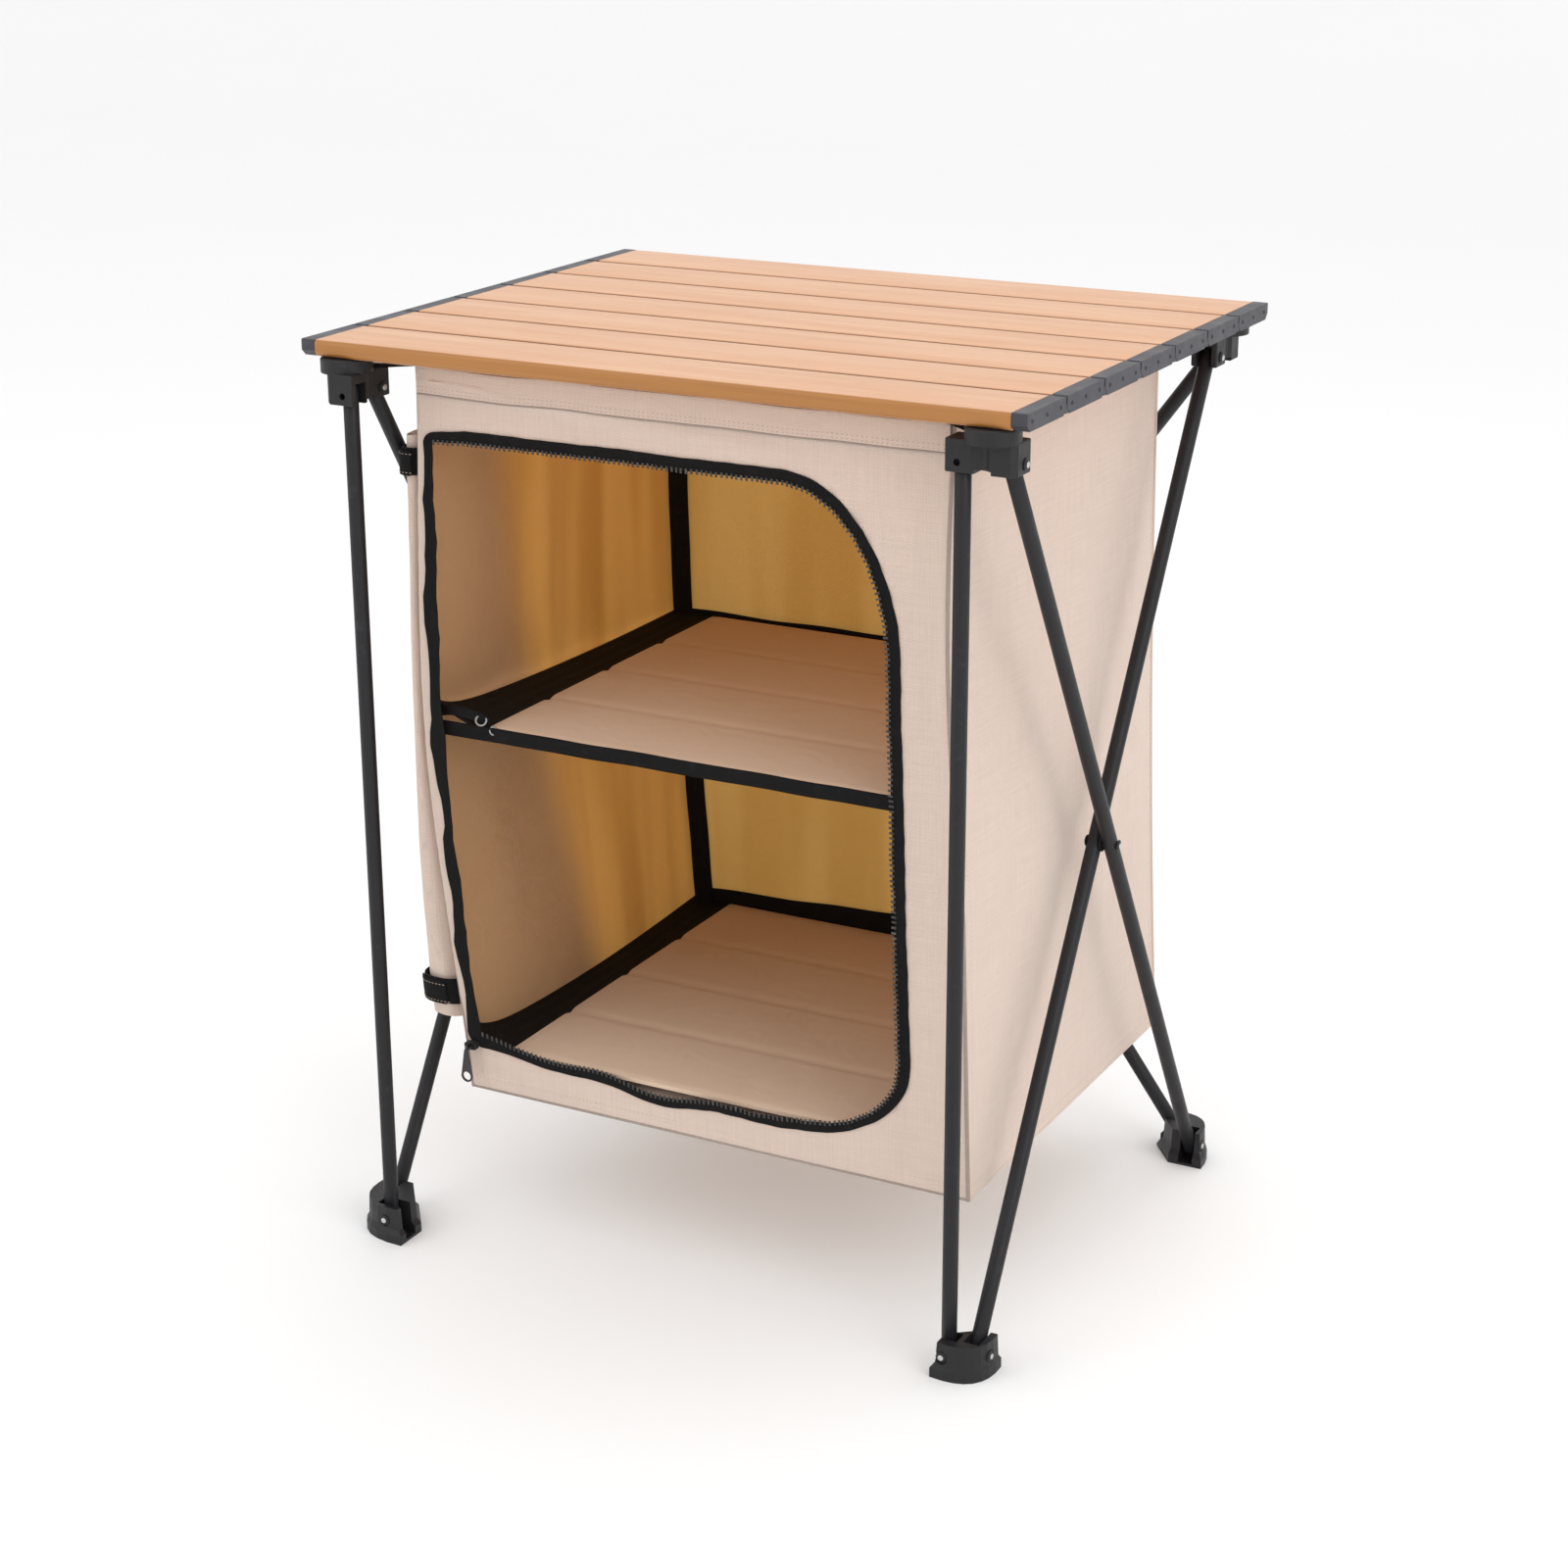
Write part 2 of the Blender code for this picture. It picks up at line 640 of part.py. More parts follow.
def joint_y(number):
    """The hinge between a slat and the next one back."""
    return slat_y(number) + SLAT_PITCH / 2


def cap_layers(hand):
    """The three layers of an end cap along X: inner cheek, tongue and outer cheek."""
    inside = TABLE_WIDTH / 2 - CAP_LENGTH
    cheek = (CAP_LENGTH - TONGUE_WIDE) / 2
    return [hand * inside, hand * (inside + cheek), hand * (inside + cheek + TONGUE_WIDE),
            hand * (TABLE_WIDTH / 2)]


def knuckle(y, start, end, radius):
    """A round bar along a hinge of the tabletop."""
    return rod((start, y, HINGE_Z), (end, y, HINGE_Z), 2 * radius, KNUCKLE_SIDES)


def build_cap(number, hand, finish, origin):
    """An end cap: plugs in the slat, a forked hinge eye with a moulded pin in front, and a tongue
    behind that snaps round the next cap's pin."""
    y, width = slat_y(number), SLAT_PITCH - SLAT_GAP
    layers = cap_layers(hand)
    outer = slat_section(width, SLAT_THICK, CAP_EDGE, SLAT_BEVEL)
    block = loft([[(x, y + a, TABLE_UNDER + b) for a, b in outer] for x in (layers[0], layers[3])])
    side = "right" if hand > 0 else "left"
    obj = add_object(f"slat_cap_{side}_{number}", block, finish, origin, smooth=False)
    start, end = layers[0] - hand * CAP_PLUG, layers[0] + hand * CAP_EDGE
    join(obj, merge([slat_plug(y, width, way, start, end) for way in (-1, 1)]))
    clear, nudge = KNUCKLE_R + KNUCKLE_CLEAR, hand * KNUCKLE_CLEAR / 2
    tongue_in, tongue_out = layers[1] + nudge, layers[2] - nudge
    fork_in, fork_out = layers[1] - nudge, layers[2] + nudge
    relief = hand * EYE_RELIEF
    if number > 1:
        front = joint_y(number - 1)
        cut(obj, knuckle(front, fork_in, fork_out, clear))
        spool = [(0, 0), (KNUCKLE_R, 0), (KNUCKLE_R, abs(fork_in - layers[0]) - 2 * EYE_RELIEF)]
        spool.append((PIN_D / 2, spool[-1][1]))
        spool += [(r, abs(layers[3] - layers[0]) - 2 * EYE_RELIEF - x) for r, x in spool[::-1]]
        join(obj, turned(spool, Vector((layers[0] + relief, front, HINGE_Z)), X_AXIS * hand, KNUCKLE_SIDES))
    if number < SLAT_COUNT:
        back = joint_y(number)
        cut(obj, merge([knuckle(back, layers[0] - nudge, tongue_in, clear),
                        knuckle(back, tongue_out, layers[3] + nudge, clear)]))
        join(obj, knuckle(back, tongue_in + relief, tongue_out - relief, KNUCKLE_R))
        cut(obj, knuckle(back, layers[0] - nudge, layers[3] + nudge, PIN_D / 2 + GAP))
    return obj


def build_tabletop(wood, plastic):
    """Slats and end caps. The middle slat lifts, and the others roll up from it."""
    middle = (SLAT_COUNT + 1) // 2
    for number in range(1, SLAT_COUNT + 1):
        y = slat_y(number)
        if number < middle:
            origin = Vector((0, joint_y(number), HINGE_Z))
        elif number > middle:
            origin = Vector((0, joint_y(number - 1), HINGE_Z))
        else:
            origin = Vector((0, y, TABLE_UNDER))
        width = SLAT_PITCH - SLAT_GAP
        bm, half_long = hollow_slat(y, width)
        slat = add_object(f"slat_{number}", bm, wood, origin, smooth=False)
        cut(slat, merge([slat_hollow(y, width, half_long, way) for way in (-1, 1)]))
        for hand in (-1, 1):
            build_cap(number, hand, plastic, origin)


# Fabric cupboard

def hang(x, y, z):
    """A point of the cupboard. It hangs slightly to the right and back at its foot, swells at its left front
    edge and draws in at the middle of its back."""
    drop = (BOX_TOP - z) / (BOX_TOP - BOX_BOTTOM)
    middle = max(0, fade(drop))
    left_share = min(1, max(0, (BOX_LEFT + SWELL_WIDE - x) / SWELL_WIDE))
    rear_share = min(1, max(0, (y - BOX_FRONT) / (BOX_BACK - BOX_FRONT)))
    swell = LEFT_SWELL * middle ** SWELL_SHARE * left_share * (1 - rear_share) ** SWELL_REAR_SHARE
    waist = BACK_WAIST * middle * rear_share ** 2
    return Vector((x + LEAN_X * drop - swell, y + LEAN_Y * drop - waist, z))


def cloth_sheet(surface, across, up, inward):
    """A closed sheet of cloth: surface(u, v) is its outer side, and inward leads to the other."""
    bm = bmesh.new()
    sides = []
    for shift in (Vector((0, 0, 0)), inward):
        grid = []
        for i in range(across + 1):
            column = []
            for j in range(up + 1):
                column.append(bm.verts.new(surface(i / across, j / up) + shift))
            grid.append(column)
        sides.append(grid)
    for grid, flip in zip(sides, (False, True)):
        for i in range(across):
            for j in range(up):
                quad = [grid[i][j], grid[i + 1][j], grid[i + 1][j + 1], grid[i][j + 1]]
                bm.faces.new(quad[::-1] if flip else quad)
    rim = [(i, 0) for i in range(across)] + [(across, j) for j in range(up)]
    rim += [(i, up) for i in range(across, 0, -1)] + [(0, j) for j in range(up, 0, -1)]
    outer, inner = sides
    for (a, b), (c, d) in zip(rim, rim[1:] + rim[:1]):
        bm.faces.new((outer[a][b], inner[a][b], inner[c][d], outer[c][d]))
    return bm


def fade(t):
    """Nought at both ends of a cloth and one in its middle."""
    return math.sin(math.pi * t)


def side_bulge(u, v):
    """How far a side wall stands out, at shares of its depth and height."""
    wave = math.sin(math.tau * (SIDE_FOLDS * u + v / SIDE_FOLDS)) * fade(u)
    return (SIDE_BULGE * fade(v) + SIDE_FOLD * (1 + wave)) * math.sqrt(fade(u)) * fade(v)


def side_wall(name, x, outward, finish):
    """A side of the cupboard with its soft upright folds."""
    front, back = BOX_FRONT + CLOTH + GAP, BOX_BACK - CLOTH - GAP

    def surface(u, v):
        z = BOX_BOTTOM + v * (BOX_TOP - BOX_BOTTOM)
        return hang(x, front + u * (back - front), z) + X_AXIS * outward * side_bulge(u, v)

    return add_object(name, cloth_sheet(surface, PANEL_ACROSS, PANEL_UP, -X_AXIS * outward * CLOTH), finish)


def build_walls(canvas):
    side_wall("cupboard_left_wall", BOX_LEFT, -1, canvas)
    side_wall("cupboard_right_wall", BOX_RIGHT, 1, canvas)

    inside = CLOTH + GAP
    left, right = BOX_LEFT + inside, BOX_RIGHT - inside
    front, rear = BOX_FRONT + inside, BOX_BACK - inside
    floor_top = LOW_SHELF_TOP - SHELF_THICK - GAP

    def floor(u, v):
        return hang(left + u * (right - left), front + v * (rear - front), floor_top)

    add_object("cupboard_floor", cloth_sheet(floor, FLOOR_STEPS, FLOOR_STEPS, -Z_AXIS * CLOTH), canvas)
    build_wrap(left, right, front, canvas)


def build_wrap(left, right, front, canvas):
    """The long cloth that makes the roof and the back, with its four hanging tabs."""
    def section(u):
        outer = [(front, BOX_TOP)]
        inner = [(front, BOX_TOP - CLOTH)]
        for j in range(PANEL_UP + 1):
            t = j / PANEL_UP
            y = BOX_BACK + BACK_BULGE * fade(t) * fade(u)
            z = BOX_TOP + t * (BOX_BOTTOM - BOX_TOP)
            outer.append((y, z))
            inner.append((y - CLOTH, min(z, BOX_TOP - CLOTH)))
        return outer + inner[::-1]

    rings = []
    for i in range(PANEL_ACROSS + 1):
        u = i / PANEL_ACROSS
        rings.append([hang(left + u * (right - left), y, z) for y, z in section(u)])
    wrap = add_object("cupboard_wrap", loft(rings), canvas)
    join(wrap, merge([hanging_tab(corner) for corner in CORNERS]))


def opening_loop(grow):
    """Points of the front opening, drawn wider by grow, from its lower right corner round to its lower edge.
    Each corner's curve is followed by a straight run. The lower edge sags."""
    left, right = OPEN_LEFT - grow * ZIP_SLIM / ZIP_WIDE, OPEN_RIGHT + grow
    bottom, top = OPEN_BOTTOM - grow, OPEN_TOP + grow
    corners = [(right, bottom, BOTTOM_CURVE_X, BOTTOM_CURVE_Z), (right, top, TOP_CURVE_X, TOP_CURVE_Z),
               (left, top, LEFT_CURVE, LEFT_CURVE), (left, bottom, LEFT_CURVE, LEFT_CURVE)]
    arcs = []
    for quarter, (x, z, wide, tall) in enumerate(corners):
        wide, tall = wide + grow, tall + grow
        cx, cz = (x - wide if x == right else x + wide), (z + tall if z == bottom else z - tall)
        arc = []
        for i in range(ARC_STEPS + 1):
            a = math.radians(90) * (quarter - 1 + i / ARC_STEPS)
            arc.append((cx + wide * math.cos(a), cz + tall * math.sin(a)))
        arcs.append(arc)
    points = []
    for arc, following in zip(arcs, arcs[1:] + arcs[:1]):
        points += arc
        (x0, z0), (x1, z1) = arc[-1], following[0]
        for i in range(1, RUN_STEPS):
            t = i / RUN_STEPS
            points.append((x0 + t * (x1 - x0), z0 + t * (z1 - z0)))
    middle = (bottom + top) / 2
    return [(x, z - ZIP_SAG * fade((x - left) / (right - left)) if z < middle else z) for x, z in points]


def outer_loop(inner):
    """The front panel's edge, one point for each point of the opening: straight out to the panel's side."""
    left, right, bottom, top = BOX_LEFT, BOX_RIGHT, BOX_BOTTOM, BOX_TOP
    side = ARC_STEPS + RUN_STEPS
    half = ARC_STEPS // 2
    ends = [((right, bottom), 0), ((right, top), 1), ((left, top), 2), ((left, bottom), 3)]
    points = []
    for (x, z), quarter in ends:
        for i in range(side):
            px, pz = inner[quarter * side + i]
            before = (px, z) if quarter in (0, 2) else (x, pz)
            after = (x, pz) if quarter in (0, 2) else (px, z)
            points.append((x, z) if i == half else (before if i < half else after))
    return points


def ring_sheet(inner, outer, y_front, y_back, place):
    """A flat closed frame between two loops of equally many points."""
    bm = bmesh.new()
    rings = []
    for loop, y in ((inner, y_front), (outer, y_front), (outer, y_back), (inner, y_back)):
        rings.append([bm.verts.new(place(x, y, z)) for x, z in loop])
    count = len(inner)
    for a, b in zip(rings, rings[1:] + rings[:1]):
        for i in range(count):
            j = (i + 1) % count
            bm.faces.new((a[i], a[j], b[j], b[i]))
    return bm


def build_front(canvas, black):
    """The front panel round its opening, and the zip tape sewn to it."""
    inner = opening_loop(0)
    add_object("cupboard_front_panel",
               ring_sheet(inner, outer_loop(inner), BOX_FRONT, BOX_FRONT + CLOTH, hang), canvas, smooth=False)
    face = BOX_FRONT - GAP
    add_object("zip_tape", ring_sheet(inner, opening_loop(ZIP_WIDE), face - ZIP_THICK, face, hang), black,
               smooth=False)


def slider_place():
    """Where the zip slider rests, at the lower left end of its run. The panel leans, so it clears its top."""
    x, z = OPEN_LEFT - ZIP_SLIM / 2, OPEN_BOTTOM - ZIP_WIDE / 2
    place = hang(x, BOX_FRONT, z)
    place.y = hang(x, BOX_FRONT - GAP - ZIP_THICK - GAP, z + SLIDER_WIDE / 2).y
    return place


def build_slider(black, steel):
    """The slider with its bail, and the puller that hangs from it."""
    at = slider_place()
    half, tall = SLIDER_WIDE / 2, SLIDER_TALL / 2
    body = box((at.x - tall, at.y - SLIDER_THICK, at.z - half), (at.x + tall, at.y, at.z + half))
    slider = add_object("zip_slider", body, black, at, smooth=False)
    add_bevel(slider, SLIDER_EDGE)
    hinge = Vector((at.x, at.y - SLIDER_THICK - BAIL_RISE, at.z))
    reach = SLIDER_WIDE / 2 - BAIL_D
    post = BAIL_D / 2
    eye = BAIL_D / 2 + GAP
    for way in (-1, 1):
        ear = box((at.x + way * reach - post, hinge.y - eye, at.z - eye),
                  (at.x + way * reach + post, at.y - SLIDER_THICK + BAIL_D, at.z + eye))
        join(slider, ear)
    join(slider, rod((at.x - reach, hinge.y, at.z), (at.x + reach, hinge.y, at.z), BAIL_D, PIN_SIDES))
    neck = reach - post - GAP
    top = hinge.z + eye + PULLER_THICK
    y0, y1 = hinge.y - eye - PULLER_THICK, hinge.y + eye + PULLER_THICK
    puller = add_object("zip_puller", box((at.x - neck, y0, hinge.z - eye - PULLER_THICK), (at.x + neck, y1, top)),
                        steel, hinge, smooth=False)
    cut(puller, rod((at.x - half, hinge.y, hinge.z), (at.x + half, hinge.y, hinge.z), 2 * eye, PIN_SIDES))
    low = hinge.z - PULLER_LONG
    blade = box((at.x - PULLER_WIDE / 2, y0, low), (at.x + PULLER_WIDE / 2, y0 + PULLER_THICK, hinge.z - BAIL_D))
    join(puller, blade)
    hole = Vector((at.x, y0 - OVERRUN, low + PULLER_RING_D / 2))
    cut(puller, rod(hole, hole + Y_AXIS * 2 * OVERRUN, PULLER_RING_D / 2, PIN_SIDES))


def table_value(keys, values, at):
    """A value read off two columns, with straight lines between their entries."""
    for (k0, v0), (k1, v1) in zip(zip(keys, values), zip(keys[1:], values[1:])):
        if at <= k1:
            return v0 + (v1 - v0) * (at - k0) / (k1 - k0)
    return values[-1]


def roll_ring(drop, grow):
    """The rolled door's section at a distance below the roof, drawn wider by grow.
    It stands off the wall by a strap and its two gaps, so that the straps pass behind it."""
    z = BOX_TOP - drop
    v = (z - BOX_BOTTOM) / (BOX_TOP - BOX_BOTTOM)
    front = BOX_FRONT + ROLL_FRONT
    walls = []
    for i in range(ROLL_SIDES):
        y = front + ROLL_DEEP * i / (ROLL_SIDES - 1)
        u = (y - BOX_FRONT) / (BOX_BACK - BOX_FRONT)
        walls.append(hang(BOX_LEFT, y, z).x - side_bulge(u, v))
    inner = min(walls) - STRAP_THICK - 2 * GAP - WALL_SLACK
    outer = BOX_LEFT - table_value(ROLL_DROPS, ROLL_REACH, drop)
    middle = hang(0, front + ROLL_DEEP / 2, z).y
    half_x, half_y = (inner - outer) / 2 + grow, ROLL_DEEP / 2 + grow
    ring = []
    for i in range(ROLL_SIDES):
        a = math.tau * i / ROLL_SIDES
        c, s = math.cos(a), math.sin(a)
        x = math.copysign(abs(c) ** ROLL_SQUARE_SHARE, c) * half_x
        y = math.copysign(abs(s) ** ROLL_SQUARE_SHARE, s) * half_y
        ring.append(((inner + outer) / 2 + x, middle + y, z))
    return ring


def strap_drops(drop):
    """The heights at which a strap follows the roll: its two edges and its middle."""
    return [drop - STRAP_WIDE / 2, drop, drop + STRAP_WIDE / 2]


def build_door(canvas):
    """The zipped door, rolled up and strapped upright outside the wall's front edge."""
    drops = set(ROLL_DROPS) | set(strap_drops(UPPER_STRAP_DROP)) | set(strap_drops(LOWER_STRAP_DROP))
    rings = [roll_ring(drop, 0) for drop in sorted(drops)]
    add_object("rolled_door", loft(rings), canvas)


# Shelves

def shelf(name, top, finish):
    """A soft board of four panels, thinner at the creases between them."""
    left = BOX_LEFT + CLOTH + GAP + WEB_WIDE + GAP
    right = BOX_RIGHT - CLOTH - SHELF_INSET
    front, back = BOX_FRONT + CLOTH + BINDING_THICK + 2 * GAP, BOX_BACK - CLOTH - SHELF_INSET
    steps = SHELF_PANELS * SHELF_PER_PANEL

    def crown(v):
        along = v * SHELF_PANELS
        return SHELF_CREASE * (1 - abs(math.sin(math.pi * along))) if 0 < v < 1 else 0

    def surface(u, v):
        return hang(left + u * (right - left), front + v * (back - front), top) - Z_AXIS * crown(v)

    bm = cloth_sheet(surface, SHELF_ACROSS, steps, Vector((0, 0, 0)) - Z_AXIS * (SHELF_THICK - SHELF_CREASE))
    return add_object(name, bm, finish)


def build_shelves(board, black):
    """The two shelf boards, and the webbing along their left edges and the upper one's front."""
    for name, top in (("mid", MID_SHELF_TOP), ("lower", LOW_SHELF_TOP)):
        shelf(name + "_shelf", top, board)
        left = BOX_LEFT + CLOTH + GAP
        right = left + WEB_WIDE - GAP
        front, back = BOX_FRONT + CLOTH + BINDING_THICK + 2 * GAP, BOX_BACK - CLOTH - SHELF_INSET

        def web(u, v, top=top, left=left, right=right, front=front, back=back):
            drop = WEB_DROP * math.sin(math.pi * u / 2)
            return hang(left + u * (right - left), front + v * (back - front), top + WEB_DROP / 2 - drop)

        add_object(name + "_shelf_webbing", cloth_sheet(web, WEB_ACROSS, WEB_ALONG, -Z_AXIS * WEB_THICK), black)
    low = MID_SHELF_TOP - BINDING_TALL
    y0 = BOX_FRONT + CLOTH + GAP
    left, right = BOX_LEFT + CLOTH + GAP, BOX_RIGHT - CLOTH - GAP

    def strip(u, v):
        return hang(left + u * (right - left), y0, low + v * BINDING_TALL)

    add_object("mid_shelf_binding", cloth_sheet(strip, WEB_ACROSS, BINDING_UP, Y_AXIS * BINDING_THICK), black)


# Straps

def closed_band(rings):
    """A closed body through rings of equally many points, the last one joined to the first."""
    bm = bmesh.new()
    loops = [[bm.verts.new(p) for p in ring] for ring in rings]
    count = len(loops[0])
    for low, high in zip(loops, loops[1:] + loops[:1]):
        for i in range(count):
            j = (i + 1) % count
            bm.faces.new((low[i], low[j], high[j], high[i]))
    return bm


def build_straps(black):
    """The two hook-and-loop straps, each closed round the rolled door."""
    for name, drop in (("upper_strap", UPPER_STRAP_DROP), ("lower_strap", LOWER_STRAP_DROP)):
        levels = strap_drops(drop)
        outside = [roll_ring(level, GAP + STRAP_THICK) for level in levels]
        inside = [roll_ring(level, GAP) for level in reversed(levels)]
        add_object(name, closed_band(outside + inside), black, smooth=False)


def hanging_tab(corner):
    """A tab from the roof, near a top corner of the cupboard, to the rim of that corner's bracket disc."""
    centre = Vector(corner_centre(corner))
    sign_x, sign_y = turn(CORNERS.index(corner), 1, -1)
    roof = Vector((BOX_RIGHT if sign_x > 0 else BOX_LEFT, BOX_BACK if sign_y > 0 else BOX_FRONT))
    along = (roof - centre).normalized()
    across = Vector((-along.y, along.x)) * TAB_WIDE / 2
    stops = [(roof + along * TAB_SEAT, BOX_TOP - TAB_SUNK), (roof + along * TAB_SEAT / 2, BOX_TOP + TAB_LIFT),
             (centre + along * (DISC_D / 2 + GAP), BOX_TOP + TAB_LIFT)]
    rings = []
    for at, low in stops:
        high = low + TAB_THICK
        left, right = at + across, at - across
        rings.append([(left.x, left.y, low), (right.x, right.y, low),
                      (right.x, right.y, high), (left.x, left.y, high)])
    return loft(rings)


def build():
    clear_scene()
    black_paint = material("tube_paint", (0.045, 0.045, 0.052), 0.38, 0.3)
    black_plastic = material("black_plastic", (0.020, 0.020, 0.022), 0.48)
    grey_plastic = material("grey_plastic", (0.100, 0.105, 0.120), 0.45)
    steel = material("rivet_steel", (0.62, 0.62, 0.62), 0.28, 1.0)
    nylon = material("washer_nylon", (0.030, 0.030, 0.030), 0.5)
    wood = material("wood_film", (0.82, 0.50, 0.30), 0.40)
    canvas = material("canvas", (0.68, 0.54, 0.42), 0.90)
    board = material("shelf_cloth", (0.45, 0.33, 0.21), 0.88)
    webbing = material("black_webbing", (0.012, 0.012, 0.012), 0.85)
    points = pivot_points()
    build_tubes(points, black_paint)
    build_crossings(points, steel, nylon)
    for corner in CORNERS:
        build_bracket(corner, black_plastic)
        build_foot(corner, black_plastic)
    build_tabletop(wood, grey_plastic)
    build_walls(canvas)
    build_front(canvas, webbing)
    build_slider(webbing, steel)
    build_door(canvas)
    build_shelves(board, webbing)
    build_straps(webbing)


build()
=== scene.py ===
"""How the fabric camp kitchen cupboard looks: a folding tube frame on moulded feet and brackets,
a roll-up slat tabletop, and a hung fabric cupboard with two soft shelves and a zipped front."""

import json
import math

import bmesh
import bpy
from mathutils import Matrix, Vector, noise


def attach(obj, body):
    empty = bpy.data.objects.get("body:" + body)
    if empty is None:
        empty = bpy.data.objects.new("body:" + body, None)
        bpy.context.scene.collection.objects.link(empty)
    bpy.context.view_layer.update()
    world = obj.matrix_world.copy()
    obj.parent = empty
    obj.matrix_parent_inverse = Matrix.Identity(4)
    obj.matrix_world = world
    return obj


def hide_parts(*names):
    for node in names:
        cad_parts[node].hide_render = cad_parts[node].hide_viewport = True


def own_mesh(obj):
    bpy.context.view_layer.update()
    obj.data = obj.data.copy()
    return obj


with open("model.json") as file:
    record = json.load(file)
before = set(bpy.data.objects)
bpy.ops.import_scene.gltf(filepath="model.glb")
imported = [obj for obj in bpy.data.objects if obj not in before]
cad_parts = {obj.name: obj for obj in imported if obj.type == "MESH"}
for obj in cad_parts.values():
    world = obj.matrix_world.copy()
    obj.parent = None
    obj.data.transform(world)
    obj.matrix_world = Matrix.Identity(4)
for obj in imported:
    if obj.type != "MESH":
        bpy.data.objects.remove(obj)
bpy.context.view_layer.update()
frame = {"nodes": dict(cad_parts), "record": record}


# Camera
# A long lens on a full-frame body. It stands well above the tabletop, off the cupboard's right front
# corner, and looks down at it.
CAMERA_PLACE = Vector((1.0980, -2.0808, 1.1794))
CAMERA_WAY = Vector((-0.4455, 0.8337, -0.3264)).normalized()
CAMERA_ROLL = math.radians(-0.21)


def level_camera(place, way, roll):
    """The matrix of a camera at place that looks along way, with its right side turned by roll."""
    level = way.cross(Vector((0, 0, 1))).normalized()
    upright = level.cross(way)
    right = level * math.cos(roll) + upright * math.sin(roll)
    above = upright * math.cos(roll) - level * math.sin(roll)
    turned_to = Matrix((right, above, -way)).transposed().to_4x4()
    return Matrix.Translation(place) @ turned_to


lens = bpy.data.cameras.new("camera")
lens.lens = 69.57
lens.sensor_width = 36
camera = bpy.data.objects.new("camera", lens)
camera.matrix_world = level_camera(CAMERA_PLACE, CAMERA_WAY, CAMERA_ROLL)
bpy.context.scene.collection.objects.link(camera)
bpy.context.scene.camera = camera


# Studio
# A white sweep that runs from the floor up behind the cupboard, and three soft boxes: one over it and
# one on each side of the camera, of which the right one is stronger.
SWEEP_WIDE = 24.0
SWEEP_FRONT = -9.0
SWEEP_BACK = 9.0
SWEEP_RISE = 7.0
SWEEP_ROUND = 3.0
SWEEP_STEPS = 12
SOFT_BOXES = {
    "soft_box_left": {"place": (-1.9, -2.6, 2.0), "aim": (0.0, 0.0, 0.4), "size": 1.8, "watts": 12.0},
    "soft_box_right": {"place": (2.6, -1.2, 1.6), "aim": (0.0, 0.0, 0.4), "size": 1.6, "watts": 18.0},
    "soft_box_over": {"place": (0.1, 0.5, 2.9), "aim": (0.0, 0.0, 0.5), "size": 2.2, "watts": 14.0},
}


def new_object(name, mesh, *finishes):
    """Puts a mesh in the scene with its materials."""
    for finish in finishes:
        mesh.materials.append(finish)
    made = bpy.data.objects.new(name, mesh)
    bpy.context.scene.collection.objects.link(made)
    return made


def node(tree, kind, feeds, **settings):
    """Adds a node. feeds gives its inputs a value each, or the output that runs into them."""
    made = tree.nodes.new(kind)
    for key, value in settings.items():
        setattr(made, key, value)
    for key, value in feeds.items():
        if isinstance(value, bpy.types.NodeSocket):
            tree.links.new(value, made.inputs[key])
        else:
            made.inputs[key].default_value = value
    return made


def noise_at(tree, place, scale, detail, roughness=0.5, distortion=0.0):
    """Noise at a scale, for grain, clouds and scratches."""
    feeds = {"Vector": place, "Scale": scale, "Detail": detail,
             "Roughness": roughness, "Distortion": distortion}
    return node(tree, "ShaderNodeTexNoise", feeds).outputs["Fac"]


def spread(tree, value, start=0.0, end=1.0, low=0.0, high=1.0, smooth=False):
    """A value that runs from low to high while another runs from start to end."""
    feeds = {"Value": value, "From Min": start, "From Max": end, "To Min": low, "To Max": high}
    way = "SMOOTHSTEP" if smooth else "LINEAR"
    return node(tree, "ShaderNodeMapRange", feeds, interpolation_type=way).outputs["Result"]


def new_finish(name, roughness, metallic=0.0, specular=0.5):
    """A material with only its Principled shader, its tree, and the place on the object for textures."""
    made = bpy.data.materials.new(name)
    made.use_nodes = True
    tree = made.node_tree
    inputs = tree.nodes["Principled BSDF"].inputs
    inputs["Roughness"].default_value = roughness
    inputs["Metallic"].default_value = metallic
    inputs["Specular IOR Level"].default_value = specular
    return made, tree, node(tree, "ShaderNodeTexCoord", {}).outputs["Object"]


def wire(tree, colour, dull=None, bumps=()):
    """Runs a colour, a roughness and bumps of a height, strength and depth each into the shader."""
    normal = None
    for height, strength, depth in bumps:
        feeds = {"Height": height, "Strength": strength, "Distance": depth}
        if normal:
            feeds["Normal"] = normal
        normal = node(tree, "ShaderNodeBump", feeds).outputs["Normal"]
    for label, source in (("Base Color", colour), ("Roughness", dull), ("Normal", normal)):
        if source:
            tree.links.new(source, tree.nodes["Principled BSDF"].inputs[label])


sweep_finish, tree, place = new_finish("sweep_paper", 0.9, specular=0.2)
wire(tree, spread(tree, noise_at(tree, place, 3.0, 3.0), low=0.955, high=0.97))

